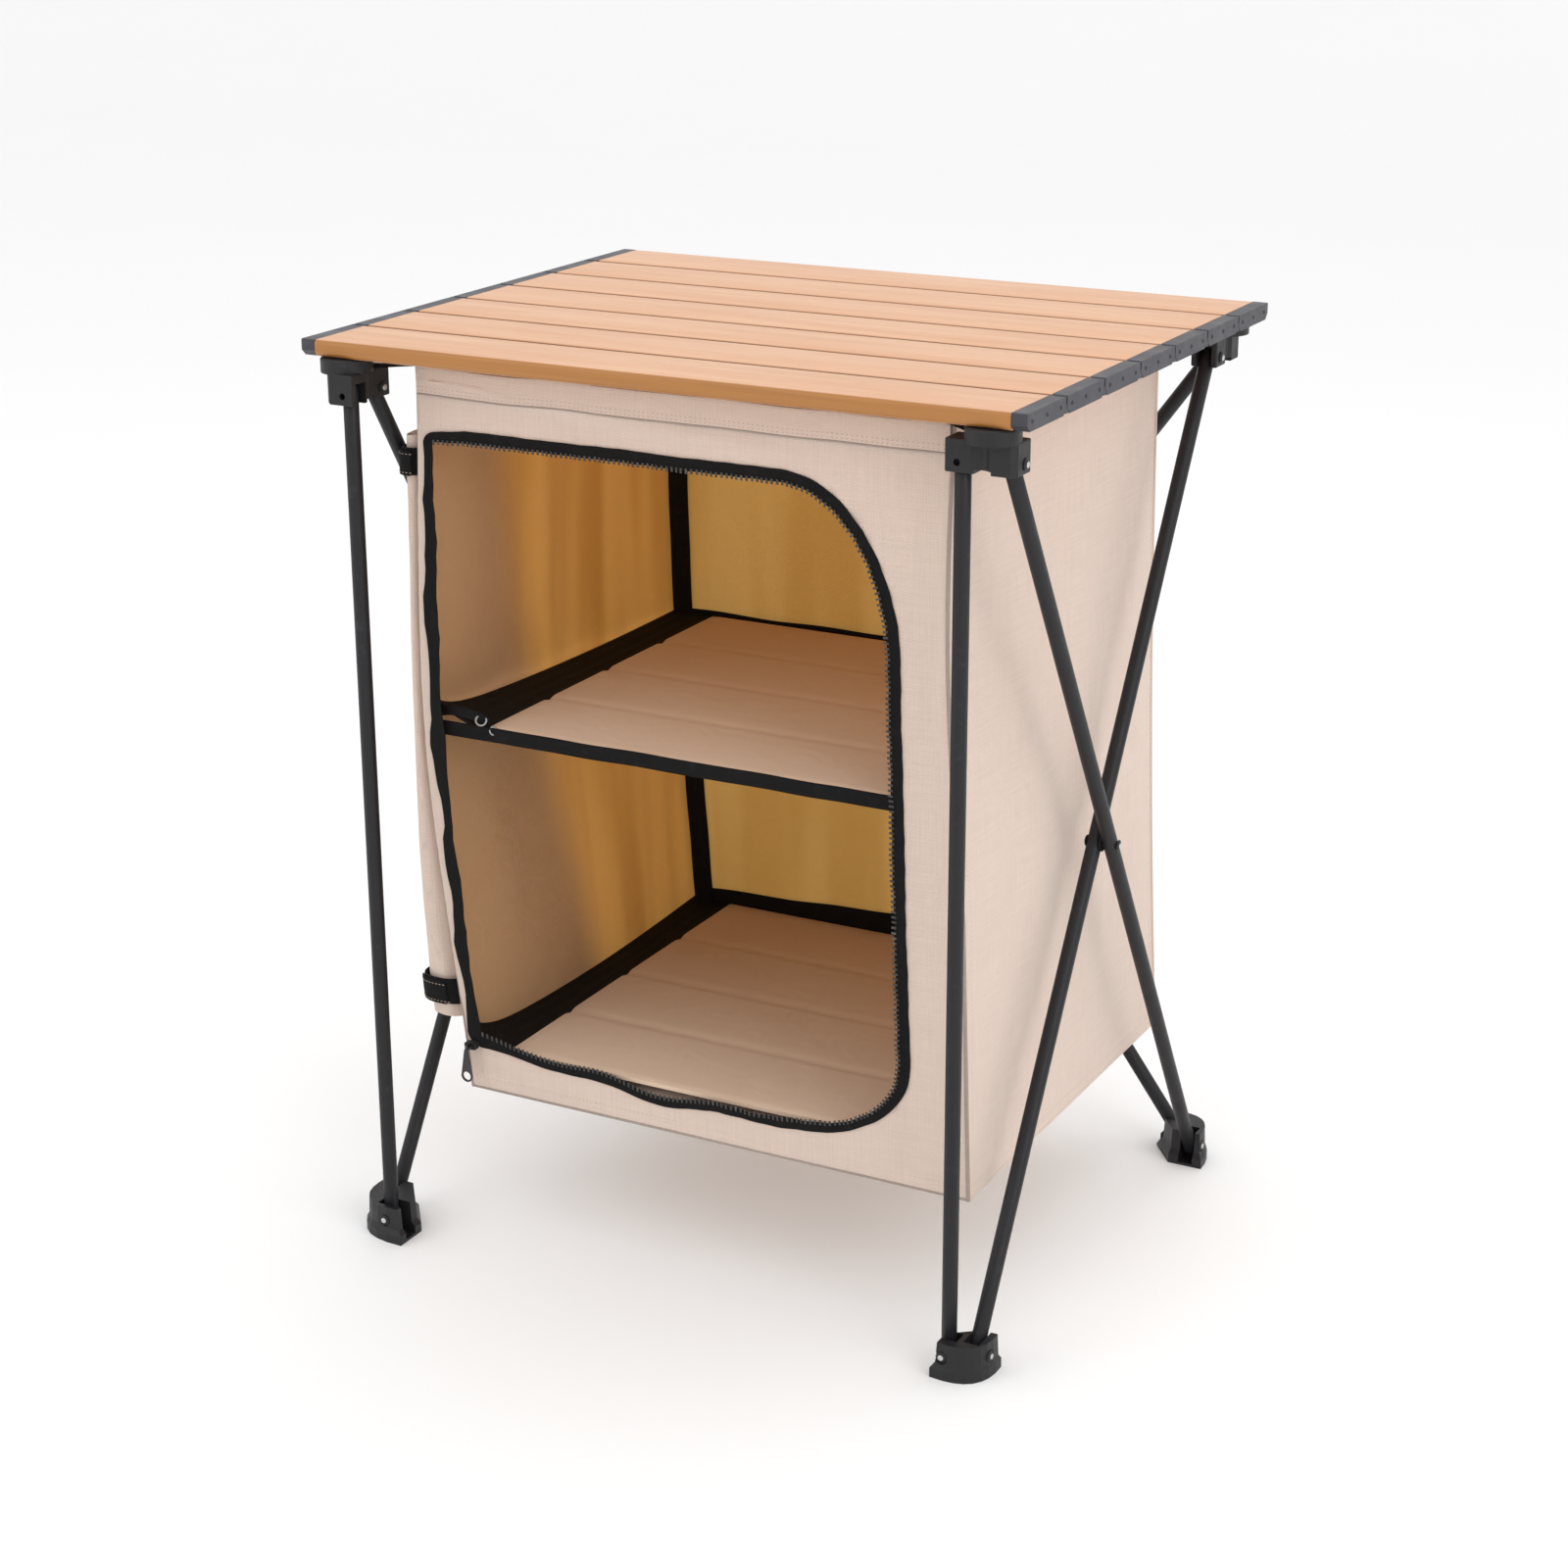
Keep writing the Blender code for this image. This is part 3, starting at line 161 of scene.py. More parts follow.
sweep_line = [(SWEEP_FRONT, 0.0), (SWEEP_BACK - SWEEP_ROUND, 0.0)]
for step in range(1, SWEEP_STEPS + 1):
    turned_by = math.pi / 2 * step / SWEEP_STEPS
    sweep_line.append((SWEEP_BACK - SWEEP_ROUND + SWEEP_ROUND * math.sin(turned_by),
                       SWEEP_ROUND - SWEEP_ROUND * math.cos(turned_by)))
sweep_line.append((SWEEP_BACK, SWEEP_RISE))
bm = bmesh.new()
left, right = ([bm.verts.new((x, y, z)) for y, z in sweep_line] for x in (-SWEEP_WIDE / 2, SWEEP_WIDE / 2))
for i in range(len(sweep_line) - 1):
    bm.faces.new((left[i], right[i], right[i + 1], left[i + 1]))
sweep_mesh = bpy.data.meshes.new("sweep")
bm.to_mesh(sweep_mesh)
bm.free()
sweep_mesh.shade_smooth()
new_object("sweep", sweep_mesh, sweep_finish)

for name, box in SOFT_BOXES.items():
    light = bpy.data.lights.new(name, "AREA")
    light.shape = "SQUARE"
    light.size = box["size"]
    light.energy = box["watts"]
    lamp = bpy.data.objects.new(name, light)
    place = Vector(box["place"])
    lamp.matrix_world = level_camera(place, (Vector(box["aim"]) - place).normalized(), 0.0)
    bpy.context.scene.collection.objects.link(lamp)
sky = bpy.data.worlds.new("studio")
sky.use_nodes = True
sky.node_tree.nodes["Background"].inputs["Color"].default_value = (1.0, 1.0, 1.0, 1.0)
sky.node_tree.nodes["Background"].inputs["Strength"].default_value = 0.98
bpy.context.scene.world = sky
bpy.context.scene.view_settings.view_transform = "Standard"


# Feet
# Four corner feet of black moulded nylon, glass filled, each with a flange on the ground and two
# slots that hold tube ends on steel rivets. The rivets' domed heads sit in round recesses.
CORNER_X = 0.269
CORNER_Y = 0.225
FOOT_PIVOT_Z = 0.018
FACE_PIVOT = -0.024
SIDE_PIVOT = 0.009
CHEEK_NEAR = 0.0197
CHEEK_FACE_FAR = 0.00948
CHEEK_SIDE_FAR = 0.00738
RIVET_HEAD_R = 0.0023
RIVET_HEAD_H = 0.0028
RIVET_DOME_SHARES = ((0, 1.0), (0.40, 0.985), (0.70, 0.94), (0.90, 0.87), (1.0, 0.78), (1.0, 0), (0, 0))
QUARTERS = {"front_right": 0, "rear_right": 1, "rear_left": 2, "front_left": 3}
NYLON_BLACK = (0.0105, 0.0103, 0.0118)
STEEL_GREY = (0.60, 0.60, 0.59)


def new_group(name, inputs, outputs):
    """An empty shader group. Its inputs have a first value each, and its outputs are plain values."""
    made = bpy.data.node_groups.new(name, "ShaderNodeTree")
    for label, value in inputs.items():
        kind = "NodeSocketVector" if label == "Place" else "NodeSocketFloat"
        made.interface.new_socket(label, in_out="INPUT", socket_type=kind).default_value = value
    for label in outputs:
        made.interface.new_socket(label, in_out="OUTPUT", socket_type="NodeSocketFloat")
    return made, made.nodes.new("NodeGroupInput").outputs, made.nodes.new("NodeGroupOutput").inputs


def place_group(tree, group, feeds):
    """Places a group in a material with its own values."""
    return node(tree, "ShaderNodeGroup", feeds, node_tree=group).outputs


def maths(tree, operation, *values):
    """What a sum of two values, or a function of one, comes to."""
    return node(tree, "ShaderNodeMath", dict(enumerate(values)), operation=operation).outputs[0]


def mix_colour(tree, share, first, second):
    """The colour between two others, at a share of the way."""
    ends = [c if isinstance(c, bpy.types.NodeSocket) else (*c, 1.0) for c in (first, second)]
    return node(tree, "ShaderNodeMix", {0: share, 6: ends[0], 7: ends[1]}, data_type="RGBA").outputs[2]


def tinted(colour, times, more=0.0):
    """A colour made brighter or darker."""
    return tuple(c * times + more for c in colour)


# The fine sand texture that a spark-eroded mould leaves on plastic.
mould_texture, given, result = new_group("mould_texture", {"Place": (0, 0, 0), "Grains per metre": 900.0},
                                         ("Height", "Speckle"))
grains = noise_at(mould_texture, given["Place"], given["Grains per metre"], 2.0, roughness=0.6)
feeds = {"Vector": given["Place"], "Scale": given["Grains per metre"]}
cells = node(mould_texture, "ShaderNodeTexVoronoi", feeds)
mould_texture.links.new(maths(mould_texture, "ADD", grains, cells.outputs["Distance"]), result["Height"])
mould_texture.links.new(spread(mould_texture, grains, 0.35, 0.7), result["Speckle"])

# Rubbed places and settled dust, in soft patches broken up by finer ones.
rubbed, given, result = new_group("rubbed", {"Place": (0, 0, 0), "Patches per metre": 14.0, "Start": 0.52},
                                  ("Mask", "Tone"))
patches = noise_at(rubbed, given["Place"], given["Patches per metre"], 6.0, roughness=0.68)
patch_end = maths(rubbed, "ADD", given["Start"], 0.22)
rubbed.links.new(spread(rubbed, patches, given["Start"], patch_end, smooth=True), result["Mask"])
rubbed.links.new(patches, result["Tone"])


def wear_on(tree, place, patches_per_metre, start):
    """Where a surface is rubbed or dusty: over more of it for a lower start."""
    return place_group(tree, rubbed, {"Place": place, "Patches per metre": patches_per_metre, "Start": start})


def moulded_plastic(name, colour, roughness, grains_per_metre, depth):
    """Textured black or grey nylon: sand-like grain, paler where hands and dust have dulled it."""
    made, tree, place = new_finish(name, roughness, specular=0.36)
    grain = place_group(tree, mould_texture, {"Place": place, "Grains per metre": grains_per_metre})
    wear = wear_on(tree, place, 40.0, 0.54)
    base = mix_colour(tree, grain["Speckle"], colour, tinted(colour, 1.25))
    dull = spread(tree, wear["Tone"], 0.3, 0.7, roughness - 0.08, roughness + 0.12)
    wire(tree, mix_colour(tree, wear["Mask"], base, tinted(colour, 1.9, 0.004)), dull,
         [(grain["Height"], 0.5, depth)])
    return made


def bright_steel(name, colour, roughness):
    """Zinc-plated steel with fine turned scratches and a few dull spots."""
    made, tree, place = new_finish(name, roughness, metallic=1.0)
    wear = wear_on(tree, place, 260.0, 0.5)
    scratches = noise_at(tree, place, 2200.0, 1.0)
    dull = spread(tree, scratches, low=roughness - 0.1, high=roughness + 0.2)
    tone = mix_colour(tree, wear["Mask"], colour, tinted(colour, 0.62))
    wire(tree, tone, dull, [(scratches, 0.25, 0.0001)])
    return made


def frame_body(name):
    """The CAD body that a node rides on."""
    for body, nodes in frame["record"]["behaviour"]["bodies"].items():
        if name in nodes:
            return body


def dress(name, finish):
    """Gives a CAD node a better material."""
    materials = frame["nodes"][name].data.materials
    materials.clear()
    materials.append(finish)


def at_corner(corner, x, y, z):
    """A world point from a point in the frame of the front right corner, turned to another corner."""
    sign_x, sign_y, turned_x, turned_y = 1, -1, x, y
    for _ in range(QUARTERS[corner]):
        sign_x, sign_y, turned_x, turned_y = -sign_y, sign_x, -turned_y, turned_x
    return Vector((sign_x * CORNER_X + turned_x, sign_y * CORNER_Y + turned_y, z))


def turned(profile, start, way, sides):
    """A body turned round way, from points of radius and distance. It closes on the axis or on itself."""
    bm = bmesh.new()
    place = Matrix.Translation(start) @ Vector((0, 0, 1)).rotation_difference(way).to_matrix().to_4x4()
    loops = []
    for radius, along in profile:
        angles = [math.tau * i / sides for i in range(1 if radius == 0 else sides)]
        loops.append([bm.verts.new(place @ Vector((radius * math.cos(a), radius * math.sin(a), along)))
                      for a in angles])
    pairs = list(zip(loops, loops[1:]))
    if len(loops[0]) > 1:
        pairs.append((loops[-1], loops[0]))
    for low, high in pairs:
        for i in range(sides):
            j = (i + 1) % sides
            corners = (low[i % len(low)], low[j % len(low)], high[j % len(high)], high[i % len(high)])
            bm.faces.new(list(dict.fromkeys(corners)))
    return bm


def merged(parts):
    """Several shapes in one bmesh."""
    whole = bmesh.new()
    for part in parts:
        mesh = bpy.data.meshes.new("part")
        part.to_mesh(mesh)
        part.free()
        whole.from_mesh(mesh)
        bpy.data.meshes.remove(mesh)
    return whole


def finished(name, shape, *finishes, sharp):
    """Turns a bmesh into a smooth-shaded object with its materials and its sharp edges."""
    shape.normal_update()
    bmesh.ops.recalc_face_normals(shape, faces=shape.faces[:])
    mesh = bpy.data.meshes.new(name)
    shape.to_mesh(mesh)
    shape.free()
    mesh.shade_smooth()
    mesh.set_sharp_from_angle(angle=math.radians(sharp))
    return new_object(name, mesh, *finishes)


def hard_piece(name, shape, finish, body, stands_for=None, sharp=35):
    """A hard piece that rides on a body, in place of a CAD node where one is given."""
    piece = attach(finished(name, shape, finish, sharp=sharp), body)
    if stands_for:
        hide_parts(stands_for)
    return piece


def rivet_head(place, way):
    """The bright domed end of a rivet, which stands on place and faces away from way."""
    profile = [(r * RIVET_HEAD_R, -along * RIVET_HEAD_H) for r, along in RIVET_DOME_SHARES]
    return turned(profile, place, way, 24)


def corner_rivet(corner, x, y, z, way_x, way_y):
    """A rivet's head at a corner, its place and way given in the front right corner's frame."""
    way = at_corner(corner, way_x, way_y, 0) - at_corner(corner, 0, 0, 0)
    return rivet_head(at_corner(corner, x, y, z), way)


nylon_finish = moulded_plastic("black_nylon", NYLON_BLACK, 0.46, 900.0, 0.00012)
steel_finish = bright_steel("plated_steel", STEEL_GREY, 0.30)
for corner in QUARTERS:
    dress("foot_" + corner, nylon_finish)
    face_spot = CHEEK_FACE_FAR if corner == "front_right" else CHEEK_NEAR
    side_spot = CHEEK_NEAR if corner == "front_left" else CHEEK_SIDE_FAR
    heads = [corner_rivet(corner, FACE_PIVOT, -face_spot, FOOT_PIVOT_Z, 0, 1),
             corner_rivet(corner, side_spot, SIDE_PIVOT, FOOT_PIVOT_Z, -1, 0)]
    hard_piece(f"foot_{corner}_rivet_heads", merged(heads), steel_finish, "foot_" + corner)


# Frame tubes
# Eight steel tubes of 12 mm: three crossed pairs at the back and the sides, and two front posts that
# slip on and off. Charcoal powder coat, with the slight orange peel that it dries with.
TUBE_R = 0.006
TUBE_BORE_R = 0.0048
TUBE_END = 0.0065
TUBE_EASE = 0.0006
TUBE_RINGS = 12
TUBE_COAT = (0.0130, 0.0125, 0.0145)
COAT_WORN = (0.030, 0.029, 0.032)
TOP_PIVOT_Z = 0.710
OUTER_LANE = 0.0094
INNER_LANE = 0.004
OUT_X, OUT_Y = CORNER_X + OUTER_LANE, CORNER_Y + OUTER_LANE
IN_X, IN_Y = CORNER_X - INNER_LANE, CORNER_Y - INNER_LANE
FACE_X, FACE_Y = CORNER_X + FACE_PIVOT, CORNER_Y + FACE_PIVOT
SIDE_X, SIDE_Y = CORNER_X - SIDE_PIVOT, CORNER_Y - SIDE_PIVOT
TUBES = {
    "right_tube_a": ((OUT_X, -SIDE_Y), (OUT_X, FACE_Y)),
    "right_tube_b": ((IN_X, FACE_Y), (IN_X, -SIDE_Y)),
    "left_tube_a": ((-OUT_X, SIDE_Y), (-OUT_X, -FACE_Y)),
    "left_tube_b": ((-IN_X, -FACE_Y), (-IN_X, SIDE_Y)),
    "rear_tube_a": ((SIDE_X, OUT_Y), (-FACE_X, OUT_Y)),
    "rear_tube_b": ((-FACE_X, IN_Y), (SIDE_X, IN_Y)),
    "front_post_right": ((FACE_X, -IN_Y), (FACE_X, -IN_Y)),
    "front_post_left": ((-SIDE_X, -OUT_Y), (-SIDE_X, -OUT_Y)),
}

coat_finish, tree, place = new_finish("powder_coat", 0.44, specular=0.28)
flake = node(tree, "ShaderNodeTexVoronoi", {"Vector": place, "Scale": 2600.0}).outputs["Distance"]
wear = wear_on(tree, place, 60.0, 0.56)
base = mix_colour(tree, spread(tree, flake, 0.1, 0.7), tinted(TUBE_COAT, 1.35), TUBE_COAT)
wire(tree, mix_colour(tree, wear["Mask"], base, COAT_WORN), spread(tree, wear["Tone"], 0.3, 0.7, 0.36, 0.54),
     [(noise_at(tree, place, 480.0, 2.0), 0.35, 0.0002)])


def tube_pivots(name):
    """The middles of a tube's rivets, at its top and at its foot."""
    top, foot = TUBES[name]
    return Vector((*top, TOP_PIVOT_Z)), Vector((*foot, FOOT_PIVOT_Z))


for name in TUBES:
    top, foot = tube_pivots(name)
    way = (foot - top).normalized()
    long = (foot - top).length + 2 * TUBE_END
    eased = TUBE_R - TUBE_EASE
    profile = [(TUBE_BORE_R, 0), (eased, 0)]
    profile += [(TUBE_R, TUBE_EASE + (long - 2 * TUBE_EASE) * i / TUBE_RINGS) for i in range(TUBE_RINGS + 1)]
    profile += [(eased, long), (TUBE_BORE_R, long)]
    pipe = turned(profile, top - way * TUBE_END, way, 32)
    hard_piece(name + "_coated", pipe, coat_finish, name, name, sharp=50)


# Crossing rivets
# Where two tubes cross they turn on one steel rivet, with a black nylon washer between them so that
# the paint doesn't rub.
for side, way in (("right", (-1, 0, 0)), ("left", (1, 0, 0)), ("rear", (0, -1, 0))):
    dress(side + "_cross_rivet", coat_finish)
    dress(side + "_cross_washer", nylon_finish)
    top, foot = tube_pivots(side + "_tube_a")
    head = rivet_head((top + foot) / 2 - Vector(way) * TUBE_R, Vector(way))
    hard_piece(side + "_cross_rivet_head", head, steel_finish, side + "_tube_a")


# Corner brackets
# Black nylon mouldings under the tabletop's corners: a disc that the slats rest on, over two forked
# lugs that hold the tubes' tops on rivets. The two front posts only slip into theirs.
CHEEK_OUT = 0.0109
for corner in QUARTERS:
    dress("bracket_" + corner, nylon_finish)
    heads = []
    if corner != "front_right":
        heads += [corner_rivet(corner, FACE_PIVOT, INNER_LANE - CHEEK_OUT, TOP_PIVOT_Z, 0, 1),
                  corner_rivet(corner, FACE_PIVOT, INNER_LANE + CHEEK_OUT, TOP_PIVOT_Z, 0, -1)]
    if corner != "front_left":
        heads.append(corner_rivet(corner, OUTER_LANE + CHEEK_OUT, SIDE_PIVOT, TOP_PIVOT_Z, -1, 0))
    hard_piece(f"bracket_{corner}_rivet_heads", merged(heads), steel_finish, "bracket_" + corner)


# Tabletop slats
# Seven hollow extruded aluminium slats under a printed wood film. Their long edges are rounded, so that
# a groove shows between each two, where the film's colour is darkened as painted shade. They roll up to the
# middle one.
SLAT_COUNT = 7
SLAT_PITCH = 0.480 / SLAT_COUNT
SLAT_WIDE = SLAT_PITCH - 0.0018
SLAT_LONG = 0.5754
SLAT_UNDER = 0.737
SLAT_THICK = 0.013
SLAT_WALL = 0.0013
SLAT_ROUND = 0.0030
SLAT_FOOT_ROUND = 0.0045
SLAT_SHIFT = 2.37
FILM_FRONT = -0.2362
FILM_FRONT_END = -0.2382
WOOD_LIGHT = (0.715, 0.412, 0.236)
WOOD_DEEP = (0.620, 0.308, 0.145)
WOOD_PORE = (0.420, 0.165, 0.060)
# Painted shade colour for the grooves between slats.
WOOD_GROOVE_SHADE = (0.185, 0.072, 0.026)
# Painted shade colour for the film's front face.
WOOD_EDGE_SHADE = (0.400, 0.165, 0.036)


def split_axes(tree, place):
    """A place's own X, Y and Z."""
    return node(tree, "ShaderNodeSeparateXYZ", {"Vector": place}).outputs


def drawn_noise(tree, place, stretch, detail, distortion=0.0):
    """Noise with its own scale along each of X, Y and Z."""
    drawn = node(tree, "ShaderNodeMapping", {"Vector": place, "Scale": stretch}).outputs[0]
    return noise_at(tree, drawn, 1.0, detail, distortion=distortion)


film_finish, tree, place = new_finish("wood_film", 0.33)
split = split_axes(tree, place)
slats_off = maths(tree, "DIVIDE", split["Y"], SLAT_PITCH)
slat_number = maths(tree, "ROUND", slats_off)
along = maths(tree, "ADD", split["X"], maths(tree, "MULTIPLY", slat_number, SLAT_SHIFT))
slid = node(tree, "ShaderNodeCombineXYZ", {"X": along, "Y": split["Y"], "Z": split["Z"]}).outputs[0]
bands = drawn_noise(tree, slid, (5.0, 60.0, 60.0), 4.0, 0.4)
lines = drawn_noise(tree, slid, (9.0, 420.0, 420.0), 3.0, 0.4)
pores = drawn_noise(tree, slid, (60.0, 1500.0, 1500.0), 1.0, 0.4)
line_share = spread(tree, lines, 0.42, 0.75, 0.0, 0.55)
base = mix_colour(tree, spread(tree, bands, 0.3, 0.7), WOOD_LIGHT, WOOD_DEEP)
base = mix_colour(tree, line_share, base, WOOD_DEEP)
base = mix_colour(tree, spread(tree, pores, 0.58, 0.72, 0.0, 0.35), base, WOOD_PORE)
off_middle = maths(tree, "ABSOLUTE", maths(tree, "SUBTRACT", slats_off, slat_number))
# Painted shade: the film's colour darkens towards each slat's long edges, where the groove between two slats
# lies.
base = mix_colour(tree, spread(tree, off_middle, 0.455, 0.476, smooth=True), base, WOOD_GROOVE_SHADE)
# Painted shade: the film's front face is made darker and browner than its top.
front_edge_shade = spread(tree, split["Y"], FILM_FRONT, FILM_FRONT_END, smooth=True)
edge_shade_tone = mix_colour(tree, line_share, WOOD_EDGE_SHADE, tinted(WOOD_EDGE_SHADE, 0.8))
wire(tree, mix_colour(tree, front_edge_shade, base, edge_shade_tone), spread(tree, lines, low=0.28, high=0.44),
     [(lines, 0.25, 0.0002)])


def slat_outline(inset):
    """A slat's section in Y and Z: small rounds above and larger ones below, all drawn in by inset."""
    points = []
    for quarter, (way_y, above) in enumerate(((1, False), (1, True), (-1, True), (-1, False))):
        rounding = SLAT_ROUND if above else SLAT_FOOT_ROUND
        middle_y = way_y * (SLAT_WIDE / 2 - rounding)
        middle_z = SLAT_THICK - rounding if above else rounding
        for i in range(6):
            a = math.pi / 2 * (quarter - 1 + i / 5)
            points.append((middle_y + (rounding - inset) * math.cos(a),
                           middle_z + (rounding - inset) * math.sin(a)))
    return points


def skin(rings, joined=False):
    """A closed body through rings of points: the last one joined to the first, or else both capped."""
    bm = bmesh.new()
    loops = [[bm.verts.new(point) for point in ring] for ring in rings]
    for low, high in zip(loops, loops[1:] + (loops[:1] if joined else [])):
        for i in range(len(low)):
            j = (i + 1) % len(low)
            bm.faces.new((low[i], low[j], high[j], high[i]))
    if not joined:
        bm.faces.new(loops[0][::-1])
        bm.faces.new(loops[-1])
    return bm


def slat_middle(number):
    """Where a slat's middle is along Y."""
    return (number - (SLAT_COUNT + 1) / 2) * SLAT_PITCH


for number in range(1, SLAT_COUNT + 1):
    end = SLAT_LONG / 2
    rings = [[(x, slat_middle(number) + a, SLAT_UNDER + b) for a, b in slat_outline(inset)]
             for x, inset in ((-end, 0.0), (end, 0.0), (end, SLAT_WALL), (-end, SLAT_WALL))]
    name = f"slat_{number}"
    hard_piece(name + "_extrusion", skin(rings, joined=True), film_finish, frame_body(name), name,
               sharp=40)


# Slat end caps
# Grey nylon end caps, plugged into both ends of each slat and linked to their neighbours by a
# moulded pin, eye and tongue, so that the tabletop rolls up.
CAP_GREY = (0.040, 0.038, 0.047)
CAP_OUT = 0.300
PLUG_PIN_Z = 0.0066
PLUG_PINS_Y = (-0.0245, 0.0, 0.0245)
PLUG_PIN = ((0.0017, -0.0004), (0.0017, 0.00012), (0.0013, 0.00028), (0.0009, 0.00012), (0.0009, -0.0004))
KNUCKLE = ((0.0, 0.0), (0.0013, 0.0), (0.0017, 0.0004), (0.0017, 0.0078), (0.0013, 0.0082), (0.0, 0.0082))
KNUCKLE_IN = 0.0088
KNUCKLE_OFF = 0.0022
KNUCKLE_DOWN = 0.0013
cap_finish = moulded_plastic("grey_nylon", CAP_GREY, 0.42, 1100.0, 0.00010)
for number in range(1, SLAT_COUNT + 1):
    for side, hand in (("left", -1), ("right", 1)):
        name = f"slat_cap_{side}_{number}"
        dress(name, cap_finish)
        y, way = slat_middle(number), Vector((hand, 0, 0))
        pins = [turned(PLUG_PIN, Vector((hand * CAP_OUT, y + off, SLAT_UNDER + PLUG_PIN_Z)), way, 16)
                for off in PLUG_PINS_Y]
        if number < SLAT_COUNT:
            knuckle = Vector((hand * (CAP_OUT - KNUCKLE_IN), y + SLAT_PITCH / 2 - KNUCKLE_OFF,
                              SLAT_UNDER + SLAT_THICK - KNUCKLE_DOWN))
            pins.append(turned(KNUCKLE, knuckle, way, 16))
        hard_piece(name + "_plug_pins", merged(pins), nylon_finish, frame_body(name))


# Cupboard roof and back
# One length of sand-coloured polyester canvas makes the roof and the back of the hung cupboard. It is
# painted golden inside, with darker bands as painted shade of its folds and a painted glow, for the light
# that comes through it, and it draws in a little at the middle of the back.
BOX_LEFT = -0.230
BOX_RIGHT = 0.224
BOX_FRONT = -0.190
BOX_BACK = 0.195
BOX_TOP = 0.727
BOX_BOTTOM = 0.119
BOX_TALL = BOX_TOP - BOX_BOTTOM
LEAN_X = 0.013
LEAN_Y = 0.018
LEFT_SWELL = 0.019
RIGHT_NIP = 0.009
BACK_WAIST = 0.011
EDGE_WIDE = 0.035
ROOF_DIP = 0.0035
CLOTH = 0.0012
SEAM_GAP = 0.0003
INSIDE = CLOTH + SEAM_GAP
ROOF_LONG = BOX_BACK - BOX_FRONT - INSIDE
WEAVE_PITCH = 0.0011
CANVAS_ROUGHNESS = 0.86
CANVAS = (0.740, 0.592, 0.505)
CANVAS_DEEP = (0.600, 0.480, 0.400)
# Painted light: the golden inner tones and their glow stand for daylight through the canvas, and the deeper
# bands are painted shade of its folds.
BACK_GOLD_LIT = (0.655, 0.408, 0.120)
BACK_DEEP = (0.555, 0.318, 0.078)
PAINTED_GLOW = 0.30
BACK_STAND = 0.005
BACK_CRUMPLE = 0.0025


def clamp(t):
    """A share kept between nought and one."""
    return min(1.0, max(0.0, t))


def rise(t):
    """Nought at both ends and one in the middle."""
    return math.sin(math.pi * clamp(t))


def hang(x, y, z):
    """A point of the cupboard, as it hangs: leaning, swollen at its left front edge, nipped in at its
    right front edge and drawn in at the middle of its back."""
    drop = (BOX_TOP - z) / BOX_TALL
    rear = clamp((y - BOX_FRONT) / (BOX_BACK - BOX_FRONT))
    near = (1 - rear) ** 1.5
    swell = LEFT_SWELL * rise(drop) ** 1.4 * clamp((BOX_LEFT + EDGE_WIDE - x) / EDGE_WIDE) * near
    nip = RIGHT_NIP * rise(drop / 0.62) * clamp((x - BOX_RIGHT + EDGE_WIDE) / EDGE_WIDE) * near
    waist = BACK_WAIST * rise(drop) * rear ** 2
    return Vector((x + LEAN_X * drop - swell - nip, y + LEAN_Y * drop - waist, z))


def crumple(x, y, z, seed):
    """The unevenness of hung cloth at a point, about -1 to 1: broad waves with a few sharper creases."""
    broad = noise.noise(Vector((x * 6.0 + seed, y * 6.0, z * 4.0)))
    crease = max(0.0, 1 - 3 * abs(noise.noise(Vector((x * 11.0, y * 11.0 + seed, z * 6.0)))))
    fine = noise.noise(Vector((x * 38.0, y * 38.0, z * 38.0 + seed)))
    return 0.75 * broad + 0.40 * crease ** 2 + 0.12 * fine


def cloth_sheet(surface, across, up):
    """A closed sheet of cloth: surface(u, v, depth) is a point of it, depth in from its outer side.
    The faces of its inner side take the second material."""
    bm = bmesh.new()
    grids = [[[bm.verts.new(surface(i / across, j / up, depth)) for j in range(up + 1)]
              for i in range(across + 1)] for depth in (0.0, 1.0)]
    for inner, grid in enumerate(grids):
        for i in range(across):
            for j in range(up):
                quad = [grid[i][j], grid[i + 1][j], grid[i + 1][j + 1], grid[i][j + 1]]
                bm.faces.new(quad[::-1] if inner else quad).material_index = inner
    rim = [(i, 0) for i in range(across)] + [(across, j) for j in range(up)]
    rim += [(i, up) for i in range(across, 0, -1)] + [(0, j) for j in range(up, 0, -1)]
    for (a, b), (c, d) in zip(rim, rim[1:] + rim[:1]):
        bm.faces.new((grids[0][a][b], grids[1][a][b], grids[1][c][d], grids[0][c][d]))
    return bm


def drawn_back(piece):
    """Gives a piece its own copy of its mesh."""
    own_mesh(piece)


def soft_piece(name, shape, slot, *finishes, stands_for=None, sharp=60):
    """A piece of cloth or webbing of the cupboard, in place of a CAD node where one is given."""
    piece = finished(name, shape, *finishes, sharp=sharp)
    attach(piece, "cupboard")
    drawn_back(piece)
    if stands_for:
        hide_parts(stands_for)
    return piece


# Plain weave: round threads that pass over and under each other, some thicker than others.
plain_weave, given, result = new_group("plain_weave", {"Across": 0.0, "Along": 0.0, "Pitch": WEAVE_PITCH},
                                       ("Height", "Slub"))
counts = [maths(plain_weave, "DIVIDE", given[label], given["Pitch"]) for label in ("Across", "Along")]
waves = [maths(plain_weave, "SINE", maths(plain_weave, "MULTIPLY", count, math.pi)) for count in counts]
over = maths(plain_weave, "GREATER_THAN", maths(plain_weave, "MULTIPLY", *waves), 0.0)
ridges = [maths(plain_weave, "ABSOLUTE", wave) for wave in waves]
flat_place = node(plain_weave, "ShaderNodeCombineXYZ", {"X": counts[0], "Y": counts[1]}).outputs[0]
slubs = [drawn_noise(plain_weave, flat_place, stretch, 1.0)
         for stretch in ((0.02, 0.9, 1.0), (0.9, 0.02, 1.0))]
